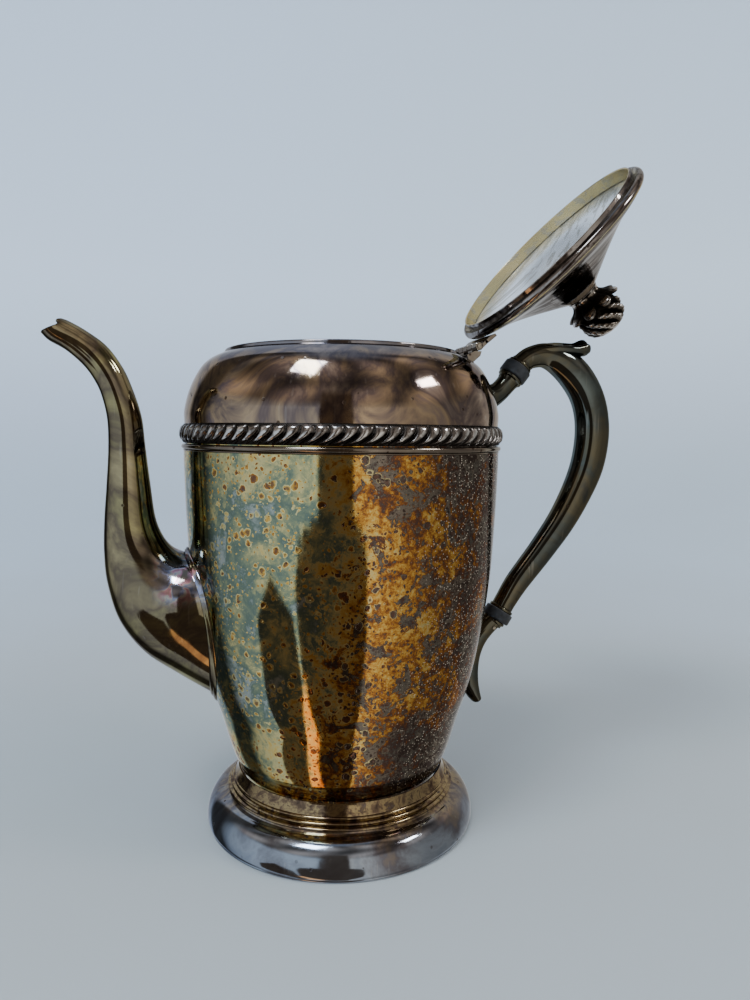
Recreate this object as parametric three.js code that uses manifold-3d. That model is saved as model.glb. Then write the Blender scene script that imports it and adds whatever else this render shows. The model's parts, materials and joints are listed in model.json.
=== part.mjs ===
// A silver-plated coffee pot with a hinged lid, in millimetres, +Z up.
// The spout points to -X, the handle to +X, and the foot rests on z = 0.
// The lid is drawn closed and then turned back on its hinge pin to its open rest.
import * as THREE from "three";
import { mergeVertices } from "three/addons/utils/BufferGeometryUtils.js";
import Module from "manifold-3d";

const wasm = await Module();
wasm.setup();

// Driving dimensions
const AXIS_SHIFT = -6.34; // the pot's own axis, from the middle of its length with the lid open
const AROUND = 40; // facets round the large turned pieces
const GAP = 0.3; // between pieces that touch
const WALL = 1.5; // raised sheet of the body, dome, foot and spout
const LID_WALL = 1.3;
const BODY_TOP_RADIUS = 64.1;
const NECK_RADIUS = 62.9; // step of the body that carries the border
const NECK_TOP = 165.0;
const BORDER_RADIUS = 65.8;
const BORDER_LOBES = 82;
const MOUTH_RADIUS = 46.1;
const MOUTH_TOP = 194.6;
const FOOT_RADIUS = 56.15;
const STRAINER_HOLE_RADIUS = 1.6;
const STRAINER_PITCH = 6.5;
const STRAINER_HEIGHT = 88;
const HINGE_X = 54.9;
const HINGE_Z = 198.4;
const HINGE_WIDTH = 25;
const KNUCKLES = 5;
const KNUCKLE_RADIUS = 1.75;
const PIN_RADIUS = 0.9;
const PIN_BORE_RADIUS = 1.0;
const OPEN_ANGLE = THREE.MathUtils.degToRad(131.8);
const INSULATOR_RADIUS = 6.3;
const TENON_RADIUS = 2.8; // stub of an insulator inside a socket or the handle
const SOCKET_BORE_RADIUS = 3.1;
const CROSS_PIN_RADIUS = 0.7;
const CROSS_HOLE_RADIUS = 1.0;
const STUD_RADIUS = 1.9;
const STUD_HOLE_RADIUS = 2.3;
const FINIAL_BASE = 220.4;
const FINIAL_LOBES = 8;

const COLOUR = {
  body: 0x6f5a34,
  dome: 0x4a3a33,
  border: 0x4b4640,
  foot: 0x4a4f57,
  spout: 0x6a6038,
  handle: 0x45453c,
  lid: 0xa7a49c,
  finial: 0x2b2622,
  insulator: 0x1b1b1c,
  steel: 0x8a8882,
};

// ---- solids from three.js geometry ----

// Turns every triangle of a list round.
function turnedRound(triangles) {
  const result = triangles.slice();
  for (let i = 0; i < result.length; i += 3) {
    result[i + 1] = triangles[i + 2];
    result[i + 2] = triangles[i + 1];
  }
  return result;
}

// Leaves out triangles that have shrunk to a line, as at the axis of a turned shape.
function withArea(triangles) {
  const kept = [];
  for (let i = 0; i < triangles.length; i += 3) {
    const [a, b, c] = triangles.slice(i, i + 3);
    if (a !== b && b !== c && c !== a) kept.push(a, b, c);
  }
  return new Uint32Array(kept);
}

function solidFrom(geometry) {
  const bare = geometry.index ? geometry.toNonIndexed() : geometry.clone();
  bare.deleteAttribute("normal");
  bare.deleteAttribute("uv");
  const merged = mergeVertices(bare, 1e-4);
  const vertProperties = merged.attributes.position.array;
  const triVerts = withArea(merged.index.array);
  const make = (list) =>
    new wasm.Manifold(new wasm.Mesh({ numProp: 3, vertProperties, triVerts: list }));
  const solid = make(triVerts);
  return solid.volume() < 0 ? make(turnedRound(triVerts)) : solid;
}

function geometryFrom(solid) {
  const mesh = solid.getMesh();
  const geometry = new THREE.BufferGeometry();
  geometry.setAttribute("position", new THREE.BufferAttribute(mesh.vertProperties, 3));
  geometry.setIndex(new THREE.BufferAttribute(mesh.triVerts, 1));
  geometry.computeVertexNormals();
  return geometry;
}

function joined(solids) {
  return solids.reduce((sum, solid) => sum.add(solid));
}

// ---- shapes ----

// An outline of [radius, height] points, turned about Z.
function turned(outline, facets = AROUND) {
  const profile = outline.map(([radius, height]) => new THREE.Vector2(radius, height));
  const lathe = new THREE.LatheGeometry(profile, facets);
  return solidFrom(lathe.rotateX(Math.PI / 2));
}

// A turned ring whose outline closes on itself.
function turnedRing(outline, facets = AROUND) {
  return turned([...outline, outline[0]], facets);
}

// Points of a smooth curve through the given [radius, height] points.
function smooth(points, steps) {
  const curve = new THREE.SplineCurve(points.map(([r, z]) => new THREE.Vector2(r, z)));
  return curve.getPoints(steps).map((point) => [point.x, point.y]);
}

// The same outline moved sideways: a positive distance moves it to the left of its direction.
function offsetOutline(outline, distance) {
  return outline.map(([r, z], i) => {
    const [r0, z0] = outline[Math.max(i - 1, 0)];
    const [r1, z1] = outline[Math.min(i + 1, outline.length - 1)];
    const length = Math.hypot(r1 - r0, z1 - z0);
    const moved = r - (distance * (z1 - z0)) / length;
    return [r === 0 ? 0 : moved, z + (distance * (r1 - r0)) / length];
  });
}

// A wall of even thickness to the left of an outline. Its inner side keeps the two ends, and
// one point in every few between them.
function walled(outline, thickness, every = 1) {
  const inner = offsetOutline(outline, thickness);
  const last = inner.length - 1;
  const kept = inner.filter((_, i) => i === last || i % every === 0);
  return [...outline, ...kept.reverse()];
}

// A closed skin over rings that all have the same number of points.
function lofted(rings) {
  const sides = rings[0].length;
  const middle = (ring) =>
    ring.reduce((sum, point) => sum.add(point), new THREE.Vector3()).divideScalar(sides);
  const corners = [];
  for (let i = 0; i + 1 < rings.length; i++) {
    for (let k = 0; k < sides; k++) {
      const next = (k + 1) % sides;
      const [a, b] = [rings[i][k], rings[i][next]];
      const [c, d] = [rings[i + 1][k], rings[i + 1][next]];
      corners.push(a, b, d, a, d, c);
    }
  }
  const first = rings[0];
  const last = rings[rings.length - 1];
  for (let k = 0; k < sides; k++) {
    const next = (k + 1) % sides;
    corners.push(first[next], first[k], middle(first));
    corners.push(last[k], last[next], middle(last));
  }
  return solidFrom(new THREE.BufferGeometry().setFromPoints(corners));
}

// An oval ring round the line from one [x, z] point to another, wider towards the second by lean.
function ovalRing([x0, z0], [x1, z1], halfWidth, lean, sides) {
  const ring = [];
  for (let k = 0; k < sides; k++) {
    const angle = (2 * Math.PI * k) / sides;
    const along = (1 + Math.cos(angle)) / 2;
    const across = halfWidth * Math.sin(angle) * (1 + lean * Math.cos(angle));
    const x = THREE.MathUtils.lerp(x0, x1, along);
    const z = THREE.MathUtils.lerp(z0, z1, along);
    ring.push(new THREE.Vector3(x, across, z));
  }
  return ring;
}

// A bar of oval section along stations [x, z, half height, half width] in the middle plane.
function ovalBar(stations, steps, sides) {
  const path = new THREE.CatmullRomCurve3(stations.map(([x, z]) => new THREE.Vector3(x, 0, z)));
  const size = new THREE.SplineCurve(stations.map(([, , a, b]) => new THREE.Vector2(a, b)));
  const rings = [];
  for (let i = 0; i <= steps; i++) {
    const at = i / steps;
    const centre = path.getPoint(at);
    const tangent = path.getTangent(at);
    const half = size.getPoint(at);
    const [nx, nz] = [-tangent.z * half.x, tangent.x * half.x];
    const low = [centre.x - nx, centre.z - nz];
    const high = [centre.x + nx, centre.z + nz];
    rings.push(ovalRing(low, high, half.y, 0, sides));
  }
  return lofted(rings);
}

// A round rod from one point to another.
function rod(from, to, radius, sides = 16) {
  const start = new THREE.Vector3(...from);
  const reach = new THREE.Vector3(...to).sub(start);
  const cylinder = new THREE.CylinderGeometry(radius, radius, reach.length(), sides);
  cylinder.translate(0, reach.length() / 2, 0);
  const turn = new THREE.Quaternion();
  turn.setFromUnitVectors(new THREE.Vector3(0, 1, 0), reach.normalize());
  cylinder.applyQuaternion(turn).translate(...from);
  return solidFrom(cylinder);
}

// A flat outline in the XZ plane, given a width along Y.
function slab(points, width, centreY = 0) {
  const shape = new THREE.Shape(points.map(([x, z]) => new THREE.Vector2(x, z)));
  const block = new THREE.ExtrudeGeometry(shape, { depth: width, bevelEnabled: false });
  return solidFrom(block.rotateX(Math.PI / 2).translate(0, centreY + width / 2, 0));
}

// ---- body, foot and border ----

const BODY_SIDE = smooth(
  [[42.6, 24.2], [46.1, 33], [50.1, 46.5], [55.6, 65], [61.3, 98.5], [63.3, 127],
    [BODY_TOP_RADIUS, 150]],
  9,
);
const DOME_SIDE = smooth(
  [[63.7, NECK_TOP + 0.4], [63.7, 170.4], [61.7, 178.3], [57.8, 186.2], [53.9, 190.3], [48.9, 193]],
  8,
);

// Everything inside the pot's outer skin, grown by a distance: what is soldered on is cut to it.
function insidePot(grown) {
  const skin = [...BODY_SIDE, [BODY_TOP_RADIUS, 154.4], [BODY_TOP_RADIUS, NECK_TOP], ...DOME_SIDE];
  const outer = offsetOutline([...skin, [48, 194], [48, MOUTH_TOP]], -grown);
  const top = MOUTH_TOP + grown;
  return turned([[0, 20], [outer[0][0], 20], ...outer, [48 + grown, top], [0, top]]);
}

function bodyShell() {
  const outline = [
    [0, 18.5], [30, 18.8], [39, 20.2], [41.8, 22.2],
    ...BODY_SIDE,
    [BODY_TOP_RADIUS, 154.4], [NECK_RADIUS, 154.9], [NECK_RADIUS, NECK_TOP],
  ];
  return turned(walled(outline, WALL, 2)).subtract(strainerHoles());
}

// Holes behind the spout that hold the grounds back, in staggered rows of 3, 4, 3 and so on.
function strainerHoles() {
  const holes = [];
  for (let row = -2; row <= 2; row++) {
    const count = row % 2 === 0 ? 3 : 4;
    for (let k = 0; k < count; k++) {
      const y = (k - (count - 1) / 2) * STRAINER_PITCH;
      const z = STRAINER_HEIGHT + row * STRAINER_PITCH * Math.sin(Math.PI / 3);
      holes.push(rod([-75, y, z], [-45, y, z], STRAINER_HOLE_RADIUS, 8));
    }
  }
  return joined(holes);
}

function shoulderDome() {
  return turnedRing(walled(DOME_SIDE, WALL, 2));
}

function mouthCollar() {
  const outer = 47.8;
  return turnedRing([
    [MOUTH_RADIUS, 190.8], [outer, 190.8], [outer, MOUTH_TOP - 0.6],
    [outer - 0.6, MOUTH_TOP], [MOUTH_RADIUS + 0.4, MOUTH_TOP], [MOUTH_RADIUS, MOUTH_TOP - 0.4],
  ]);
}

// A half-round wire laid against the neck of the body.
function borderBead() {
  const inner = 63.3;
  const middle = 156.3;
  const outline = [[inner, middle + 1], [inner, middle - 1]];
  for (let k = 0; k <= 4; k++) {
    const angle = -Math.PI / 2 + (Math.PI * k) / 4;
    outline.push([inner + 0.75 + 0.95 * Math.cos(angle), middle + Math.sin(angle)]);
  }
  return turnedRing(outline);
}

// The angle that the border's lobes swing through below their upright tops, for a drop from there.
function lobeSweep(drop) {
  const perSquare = THREE.MathUtils.degToRad(0.163); // radians for each square millimetre
  return -perSquare * THREE.MathUtils.clamp(drop, 0, 6) ** 2;
}

// The cast border: a convex band whose comma-shaped lobes stand side by side all round.
function gadroonBorder() {
  const bottom = 157.6;
  const height = 7.4;
  const upright = 6.0; // height above the bottom where the lobes stand upright
  const lobeDepth = 0.7;
  const rows = 5;
  const sides = 2 * BORDER_LOBES;
  const inner = 63.25;
  const point = (radius, z, angle) =>
    new THREE.Vector3(radius * Math.cos(angle), radius * Math.sin(angle), z);
  const rings = [];
  for (let row = 0; row <= rows; row++) {
    const up = row / rows;
    const crest = inner + 1.0 + (BORDER_RADIUS - inner - 1.0) * Math.sin(Math.PI * up) ** 0.6;
    const sweep = lobeSweep(upright - height * up);
    const ring = [];
    for (let k = 0; k < sides; k++) {
      const angle = (2 * Math.PI * k) / sides + sweep;
      const depth = k % 2 === 0 ? 0 : lobeDepth * Math.sin(Math.PI * up);
      ring.push(point(crest - depth, bottom + height * up, angle));
    }
    rings.push(ring);
  }
  const bore = turned([[0, 150], [inner, 150], [inner, 170], [0, 170]], AROUND * 2);
  return lofted(rings).subtract(bore);
}

// The spun foot: a cove, three reeds, a crease and one full bulge.
function footRing() {
  const reed = (radius, height) => [
    [radius, height + 0.8], [radius + 0.7, height + 0.4], [radius + 0.9, height - 0.4],
  ];
  const bulgeAcross = 8.75;
  const bulgeTall = 10.9;
  const bulge = [];
  for (let k = 0; k <= 5; k++) {
    const angle = THREE.MathUtils.degToRad(80 - 16 * k);
    const radius = FOOT_RADIUS - bulgeAcross * (1 - Math.cos(angle));
    bulge.push([radius, 3.0 + bulgeTall * Math.sin(angle)]);
  }
  const outer = [
    [43.3, 23.9], [43.7, 22.4], [44.4, 20.4],
    ...reed(45.2, 18.4), ...reed(46.4, 16.8), ...reed(47.6, 15.2),
    ...bulge,
    [55.7, 2.4],
  ];
  const inner = [
    [54.2, 2.4], [53.9, 6.2], [51.4, 10.2], [47.6, 12.3], [45.4, 14.4], [43.4, 18.0], [42.7, 20.8],
    [42.85, 23.7],
  ];
  return turnedRing([...outer, ...inner]);
}

// The heavy wire soldered inside the foot's edge, which the pot stands on.
function footRimWire() {
  return turnedRing([
    [53.6, 0.5], [54.1, 0], [55.0, 0], [55.7, 0.6], [55.7, 1.6], [55.2, 2.0], [53.6, 2.0],
  ]);
}

// ---- spout ----

// Stations from the mouth to the root: front edge, back edge, half width, lean of the widest line.
const SPOUT_STATIONS = [
  [[-115.1, 198.1], [-107.9, 203.4], 6.2, 0],
  [[-112.4, 195.4], [-105.2, 202.4], 5.6, 0],
  [[-106.5, 192.0], [-99.5, 199.3], 5.2, 0],
  [[-100.5, 186.6], [-92.5, 194.2], 5.4, 0],
  [[-96.8, 181.3], [-87.3, 187.4], 5.6, 0],
  [[-94.3, 175.5], [-83.7, 180.0], 5.8, 0],
  [[-92.4, 166.2], [-79.8, 167.8], 6.3, 0],
  [[-92.3, 154.6], [-78.3, 155.0], 6.8, 0],
  [[-93.2, 141.0], [-76.8, 141.6], 7.8, 0],
  [[-94.3, 127.0], [-75.1, 128.5], 9.0, 0],
  [[-94.6, 114.0], [-72.4, 121.0], 10.6, 0.03],
  [[-93.5, 102.0], [-68.8, 116.4], 13.4, 0.06],
  [[-89.2, 87.5], [-64.0, 114.0], 17.6, 0.1],
  [[-80.3, 74.9], [-59.5, 113.4], 21.0, 0.15],
  [[-68.0, 65.5], [-55.0, 113.2], 22.4, 0.18],
  [[-54.0, 56.0], [-50.0, 113.0], 22.4, 0.18],
  [[-40.0, 47.0], [-44.0, 113.0], 22.4, 0.18],
];

// The spout's form, grown all round by a distance; the ends can be drawn out past the form's own.
function spoutForm(grown, drawnOut = 0) {
  const sides = 20;
  const rings = SPOUT_STATIONS.map(([front, back, halfWidth, lean]) => {
    const a = new THREE.Vector2(...front);
    const b = new THREE.Vector2(...back);
    const step = b.clone().sub(a).setLength(grown);
    return ovalRing(a.sub(step).toArray(), b.add(step).toArray(), halfWidth + grown, lean, sides);
  });
  if (drawnOut > 0) {
    const ahead = rings[0].map((point, k) => point.clone().sub(rings[1][k]));
    rings.unshift(rings[0].map((point, k) => point.clone().addScaledVector(ahead[k], drawnOut)));
  }
  return lofted(rings);
}

// The tongue that stands up at the back of the mouth.
function spoutTongue() {
  const stations = [[-96.5, 194.5, 1.6, 3.4], [-102.5, 200.2, 1.9, 3.6], [-107.5, 203.4, 1.2, 2.4]];
  return ovalBar(stations, 5, 12);
}

// What the sides of the mouth are cut down by, between the lip and the tongue.
function mouthDip() {
  const [x, z] = [-113.4, 202.3];
  const radius = 4.2;
  return rod([x, -10, z], [x, 10, z], radius, 24);
}

function spout() {
  const form = spoutForm(0).add(spoutTongue()).subtract(mouthDip());
  const hollow = spoutForm(-WALL, 0.6);
  return form.subtract(hollow).subtract(insidePot(GAP));
}

// The narrow flange that is soldered round the spout's root.
function spoutFlange() {
  const band = insidePot(GAP + 1.4).subtract(insidePot(GAP));
  return spoutForm(2.4).intersect(band).subtract(spoutForm(GAP)).subtract(spoutForm(-WALL, 0.6));
}

// ---- handle and its insulators ----

// Each insulator: the middle of its disc in the XZ plane, and the direction towards the handle.
const UPPER_JOINT = { x: 76.7, z: 189.4, dx: 0.62, dz: 0.785, thick: 5.6 };
const LOWER_JOINT = { x: 71.4, z: 81.8, dx: 0.54, dz: 0.842, thick: 4.8 };

// A point on an insulator's axis, a distance from the middle of its disc.
function onJoint(joint, distance, y = 0) {
  return [joint.x + joint.dx * distance, y, joint.z + joint.dz * distance];
}

// A black disc with a stub on each side, which keeps the handle cool.
function insulator(joint) {
  const half = joint.thick / 2;
  const reach = half + 7;
  const round = 1.1;
  const outline = [
    [0, -reach], [TENON_RADIUS, -reach], [TENON_RADIUS, -half],
    [INSULATOR_RADIUS - round, -half], [INSULATOR_RADIUS, -half + round],
    [INSULATOR_RADIUS, half - round], [INSULATOR_RADIUS - round, half],
    [TENON_RADIUS, half], [TENON_RADIUS, reach], [0, reach],
  ];
  const profile = outline.map(([radius, height]) => new THREE.Vector2(radius, height));
  const disc = new THREE.LatheGeometry(profile, 20);
  const turn = new THREE.Quaternion();
  const direction = new THREE.Vector3(joint.dx, 0, joint.dz).normalize();
  turn.setFromUnitVectors(new THREE.Vector3(0, 1, 0), direction);
  disc.applyQuaternion(turn).translate(joint.x, 0, joint.z);
  return solidFrom(disc).subtract(crossHole(joint, -1)).subtract(crossHole(joint, 1));
}

// Where a cross pin runs: half way down the stub on one side of the disc.
function crossPinAt(joint, side, halfLength) {
  const distance = side * (joint.thick / 2 + 3.6);
  return [onJoint(joint, distance, -halfLength), onJoint(joint, distance, halfLength)];
}

function crossHole(joint, side) {
  return rod(...crossPinAt(joint, side, 12), CROSS_HOLE_RADIUS, 8);
}

function crossPin(joint, side, halfLength) {
  return rod(...crossPinAt(joint, side, halfLength), CROSS_PIN_RADIUS, 8);
}

// The bore that takes an insulator's stub.
function stubBore(joint, side) {
  const half = joint.thick / 2;
  const start = onJoint(joint, (side * half) / 2);
  return rod(start, onJoint(joint, side * (half + 7.6)), SOCKET_BORE_RADIUS, 12);
}

// A socket or the handle is cut square to the insulator's axis, just clear of the disc.
function discClearance(joint) {
  const half = joint.thick / 2 + GAP;
  return rod(onJoint(joint, -half), onJoint(joint, half), INSULATOR_RADIUS + 4, 20);
}

function bored(solid, joint, side) {
  return solid
    .subtract(discClearance(joint))
    .subtract(stubBore(joint, side))
    .subtract(crossHole(joint, side));
}

// Stations of the handle: x, z, half height and half width.
const HANDLE_STATIONS = [
  [77.9, 190.9, 5.3, 5.2],
  [79.9, 193.0, 4.8, 4.7],
  [84.2, 195.9, 4.9, 4.7],
  [90.5, 197.0, 5.5, 5.0],
  [97.8, 194.9, 6.8, 5.8],
  [105.2, 189.4, 7.6, 6.4],
  [111.2, 181.4, 7.7, 6.6],
  [114.6, 172.0, 7.8, 6.7],
  [115.4, 161.0, 7.9, 6.7],
  [113.4, 148.5, 7.7, 6.6],
  [108.6, 136.5, 7.1, 6.3],
  [101.4, 123.5, 6.5, 5.9],
  [91.6, 110.0, 5.9, 5.4],
  [80.6, 96.3, 5.4, 5.0],
  [75.2, 88.1, 4.9, 4.8],
  [72.0, 83.0, 5.2, 5.1],
];

// The leaf on top of the handle that the thumb rests against.
function thumbLeaf() {
  return ovalBar(
    [[86.0, 198.6, 2.6, 3.4], [94.0, 200.4, 2.9, 5.2], [103.0, 200.0, 3.2, 5.6],
      [110.6, 201.0, 2.9, 3.6]],
    9,
    12,
  );
}

function handle() {
  const bar = ovalBar(HANDLE_STATIONS, 28, 12).add(thumbLeaf());
  return bored(bored(bar, UPPER_JOINT, 1), LOWER_JOINT, 1);
}

// The short curved socket on the dome.
function upperHandleSocket() {
  const bar = ovalBar(
    [[60.0, 176.6, 6.8, 6.8], [65.6, 178.3, 5.7, 5.7], [69.8, 181.0, 4.8, 4.8], [73.2, 184.8, 4.7, 4.7],
      [75.6, 188.0, 5.6, 5.6]],
    9,
    14,
  );
  return bored(bar.subtract(insidePot(GAP)), UPPER_JOINT, -1);
}

// The lower socket, whose tail runs down the body and curls off it at the end.
function lowerHandleSocket() {
  const bar = ovalBar(
    [[70.9, 81.2, 5.2, 5.2], [68.7, 78.0, 4.5, 4.6], [64.4, 72.4, 4.7, 4.6], [61.0, 65.6, 4.9, 4.5],
      [58.6, 58.4, 4.9, 4.3], [58.5, 51.8, 4.4, 3.9], [60.3, 47.2, 3.4, 3.3], [62.0, 44.0, 2.5, 2.8]],
    16,
    14,
  );
  return bored(bar.subtract(insidePot(GAP)), LOWER_JOINT, -1);
}

// ---- lid, drawn closed ----

// The lid's skin from the rolled rim up the trumpet-shaped cone.
const LID_SIDE = [
  [48.1, 195.9], [48.6, 197.4], [47.6, 199.1],
  ...smooth([[44.5, 200.6], [35.4, 204], [24, 210], [14, 216], [9.2, 219.0]], 6),
];

function lidShell() {
  const outline = [[46.9, 195.1], ...LID_SIDE, [7.5, 219.9], [STUD_HOLE_RADIUS, 220.0]];
  return turnedRing(walled(outline, LID_WALL, 2));
}

// The upright ring under the lid that drops into the mouth.
function lidBezel() {
  return turnedRing([[44.5, 193.3], [45.3, 193.3], [45.3, 198.0], [44.5, 198.0]]);
}

// Lobes that swell a turned finial where the weight is high.
function fluted(outline, lobes, depthAt) {
  const profile = outline.map(([radius, height]) => new THREE.Vector2(radius, height));
  const lathe = new THREE.LatheGeometry(profile, lobes * 4).rotateX(Math.PI / 2);
  const position = lathe.attributes.position;
  for (let i = 0; i < position.count; i++) {
    const [x, y, z] = [position.getX(i), position.getY(i), position.getZ(i)];
    const wave = 0.5 - 0.5 * Math.cos(lobes * Math.atan2(y, x));
    const scale = 1 - depthAt(z) * wave;
    position.setXY(i, x * scale, y * scale);
  }
  return solidFrom(lathe);
}

function finial() {
  const calyx = [
    [7.6, FINIAL_BASE], [7.2, 222.4], [8.5, 225.0], [11.4, 226.8], [12.9, 227.7], [13.1, 228.8],
  ];
  const bud = [[11.4, 229.6], [9.9, 231.0], [10.3, 233.6], [10.1, 236.6], [8.7, 239.3], [5.4, 241.2]];
  const depthAt = (z) => (z < 229.5 ? 0.14 * THREE.MathUtils.smoothstep(z, 222, 227) : 0.1);
  const solid = fluted([[0, FINIAL_BASE], ...calyx, ...bud, [0, 241.8]], FINIAL_LOBES, depthAt);
  return solid.subtract(rod([0, 0, FINIAL_BASE - 1], [0, 0, 232], STUD_HOLE_RADIUS, 12));
}

// The threaded stud of the finial, drawn as a plain rod.
function finialStud() {
  return rod([0, 0, 213.4], [0, 0, 231.4], STUD_RADIUS, 12);
}

function finialWasher() {
  return turnedRing([[STUD_HOLE_RADIUS, 217.4], [6, 217.4], [6, 218.2], [STUD_HOLE_RADIUS, 218.2]], 20);
}

function finialNut() {
  const acrossCorners = 9.2;
  const hexagon = rod([0, 0, 214.3], [0, 0, 217.1], acrossCorners / 2, 6);
  return hexagon.subtract(rod([0, 0, 213], [0, 0, 219], STUD_HOLE_RADIUS, 12));
}

// ---- hinge ----

// Knuckles of one leaf: those whose number has the given parity.
function knuckles(parity) {
  const pitch = (HINGE_WIDTH + GAP) / KNUCKLES;
  const solids = [];
  for (let k = parity; k < KNUCKLES; k += 2) {
    const start = -HINGE_WIDTH / 2 + k * pitch;
    const width = pitch - GAP;
    const barrel = rod([HINGE_X, start, HINGE_Z], [HINGE_X, start + width, HINGE_Z], KNUCKLE_RADIUS);
    solids.push({ barrel, middle: start + width / 2, width });
  }
  return solids;
}

function hingeBore() {
  const reach = HINGE_WIDTH / 2 + 2;
  return rod([HINGE_X, -reach, HINGE_Z], [HINGE_X, reach, HINGE_Z], PIN_BORE_RADIUS);
}

// The leaf soldered to the dome: a wedge under the barrel with a tab up to each of its knuckles.
function hingeBodyLeaf() {
  const underBarrel = HINGE_Z - KNUCKLE_RADIUS - GAP;
  const block = slab(
    [[49.0, 186], [49.0, 194.8], [53.0, underBarrel], [56.0, underBarrel], [51.7, 191.6], [50.0, 186]],
    HINGE_WIDTH,
  ).subtract(insidePot(GAP));
  const tabs = knuckles(1).map(({ barrel, middle, width }) => {
    const tab = slab([[53.6, 195], [53.6, HINGE_Z], [56.6, HINGE_Z], [56.6, 195]], width, middle);
    return tab.add(barrel);
  });
  return joined([block, ...tabs]).subtract(hingeBore());
}

// The leaf soldered to the lid: a plate on the rim with a tab out to each of its knuckles.
function hingeLidLeaf() {
  const plate = slab([[46.0, 199.0], [46.0, 201.3], [51.6, 200.4], [51.6, 198.7]], HINGE_WIDTH);
  const tabs = knuckles(0).map(({ barrel, middle, width }) => {
    const tab = slab(
      [[50.6, 198.7], [50.6, 200.6], [HINGE_X, HINGE_Z + KNUCKLE_RADIUS], [HINGE_X, HINGE_Z]],
      width,
      middle,
    );
    return tab.add(barrel);
  });
  return joined([plate, ...tabs]).subtract(insideLid(GAP)).subtract(hingeBore());
}

// Everything under the lid's outer skin, grown by a distance.
function insideLid(grown) {
  const outer = offsetOutline([[48.1, 192], ...LID_SIDE], -grown);
  return turned([[0, 192], ...outer, [0, outer[outer.length - 1][1]]]);
}

function hingePin() {
  const reach = HINGE_WIDTH / 2 + 0.4;
  return rod([HINGE_X, -reach, HINGE_Z], [HINGE_X, reach, HINGE_Z], PIN_RADIUS);
}

// ---- the assembly ----

function part(name, solid, color, roughness, metalness) {
  const material = new THREE.MeshStandardMaterial({ color, roughness, metalness });
  const mesh = new THREE.Mesh(geometryFrom(solid), material);
  mesh.name = name;
  return mesh;
}

function metal(name, solid, color, roughness = 0.25) {
  return part(name, solid, color, roughness, 1);
}

function potGroup() {
  const group = new THREE.Group();
  group.add(
    metal("body_shell", bodyShell(), COLOUR.body),
    metal("shoulder_dome", shoulderDome(), COLOUR.dome),
    metal("mouth_collar", mouthCollar(), COLOUR.dome),
    metal("gadroon_border", gadroonBorder(), COLOUR.border, 0.35),
    metal("border_bead", borderBead(), COLOUR.border),
    metal("foot_ring", footRing(), COLOUR.foot),
    metal("foot_rim_wire", footRimWire(), COLOUR.foot),
    metal("spout", spout(), COLOUR.spout),
    metal("spout_flange", spoutFlange(), COLOUR.spout),
    metal("upper_handle_socket", upperHandleSocket(), COLOUR.handle),
    metal("lower_handle_socket", lowerHandleSocket(), COLOUR.handle),
    metal("handle", handle(), COLOUR.handle),
    part("upper_insulator", insulator(UPPER_JOINT), COLOUR.insulator, 0.6, 0),
    part("lower_insulator", insulator(LOWER_JOINT), COLOUR.insulator, 0.6, 0),
    metal("upper_socket_pin", crossPin(UPPER_JOINT, -1, 4.4), COLOUR.steel),
    metal("upper_handle_pin", crossPin(UPPER_JOINT, 1, 4.4), COLOUR.steel),
    metal("lower_socket_pin", crossPin(LOWER_JOINT, -1, 4.4), COLOUR.steel),
    metal("lower_handle_pin", crossPin(LOWER_JOINT, 1, 4.4), COLOUR.steel),
    metal("hinge_body_leaf", hingeBodyLeaf(), COLOUR.dome),
    metal("hinge_pin", hingePin(), COLOUR.steel),
  );
  return group;
}

// The lid's pieces, turned about the hinge pin from closed to open.
function lidGroup() {
  const closed = new THREE.Group();
  closed.position.set(-HINGE_X, 0, -HINGE_Z);
  closed.add(
    metal("lid_shell", lidShell(), COLOUR.lid),
    metal("lid_bezel", lidBezel(), COLOUR.lid),
    metal("finial", finial(), COLOUR.finial, 0.4),
    metal("finial_stud", finialStud(), COLOUR.steel),
    metal("finial_washer", finialWasher(), COLOUR.steel),
    metal("finial_nut", finialNut(), COLOUR.steel),
    metal("hinge_lid_leaf", hingeLidLeaf(), COLOUR.lid),
  );
  const hinge = new THREE.Group();
  hinge.position.set(HINGE_X, 0, HINGE_Z);
  hinge.rotation.y = OPEN_ANGLE;
  hinge.add(closed);
  return hinge;
}

const coffeePot = new THREE.Group();
coffeePot.position.x = AXIS_SHIFT;
coffeePot.add(potGroup(), lidGroup());

export default coffeePot;
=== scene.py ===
"""The looks of a tarnished silver-plated coffee pot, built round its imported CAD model.

Outlines are [radius, height] in millimetres, from the pot's own axis and the surface it stands on.
The lid is shaped closed and then turned to where the CAD model has it at rest, open.
"""

import json
import math

import bmesh
import bpy
import numpy as np
from mathutils import Matrix, Quaternion, Vector


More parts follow.
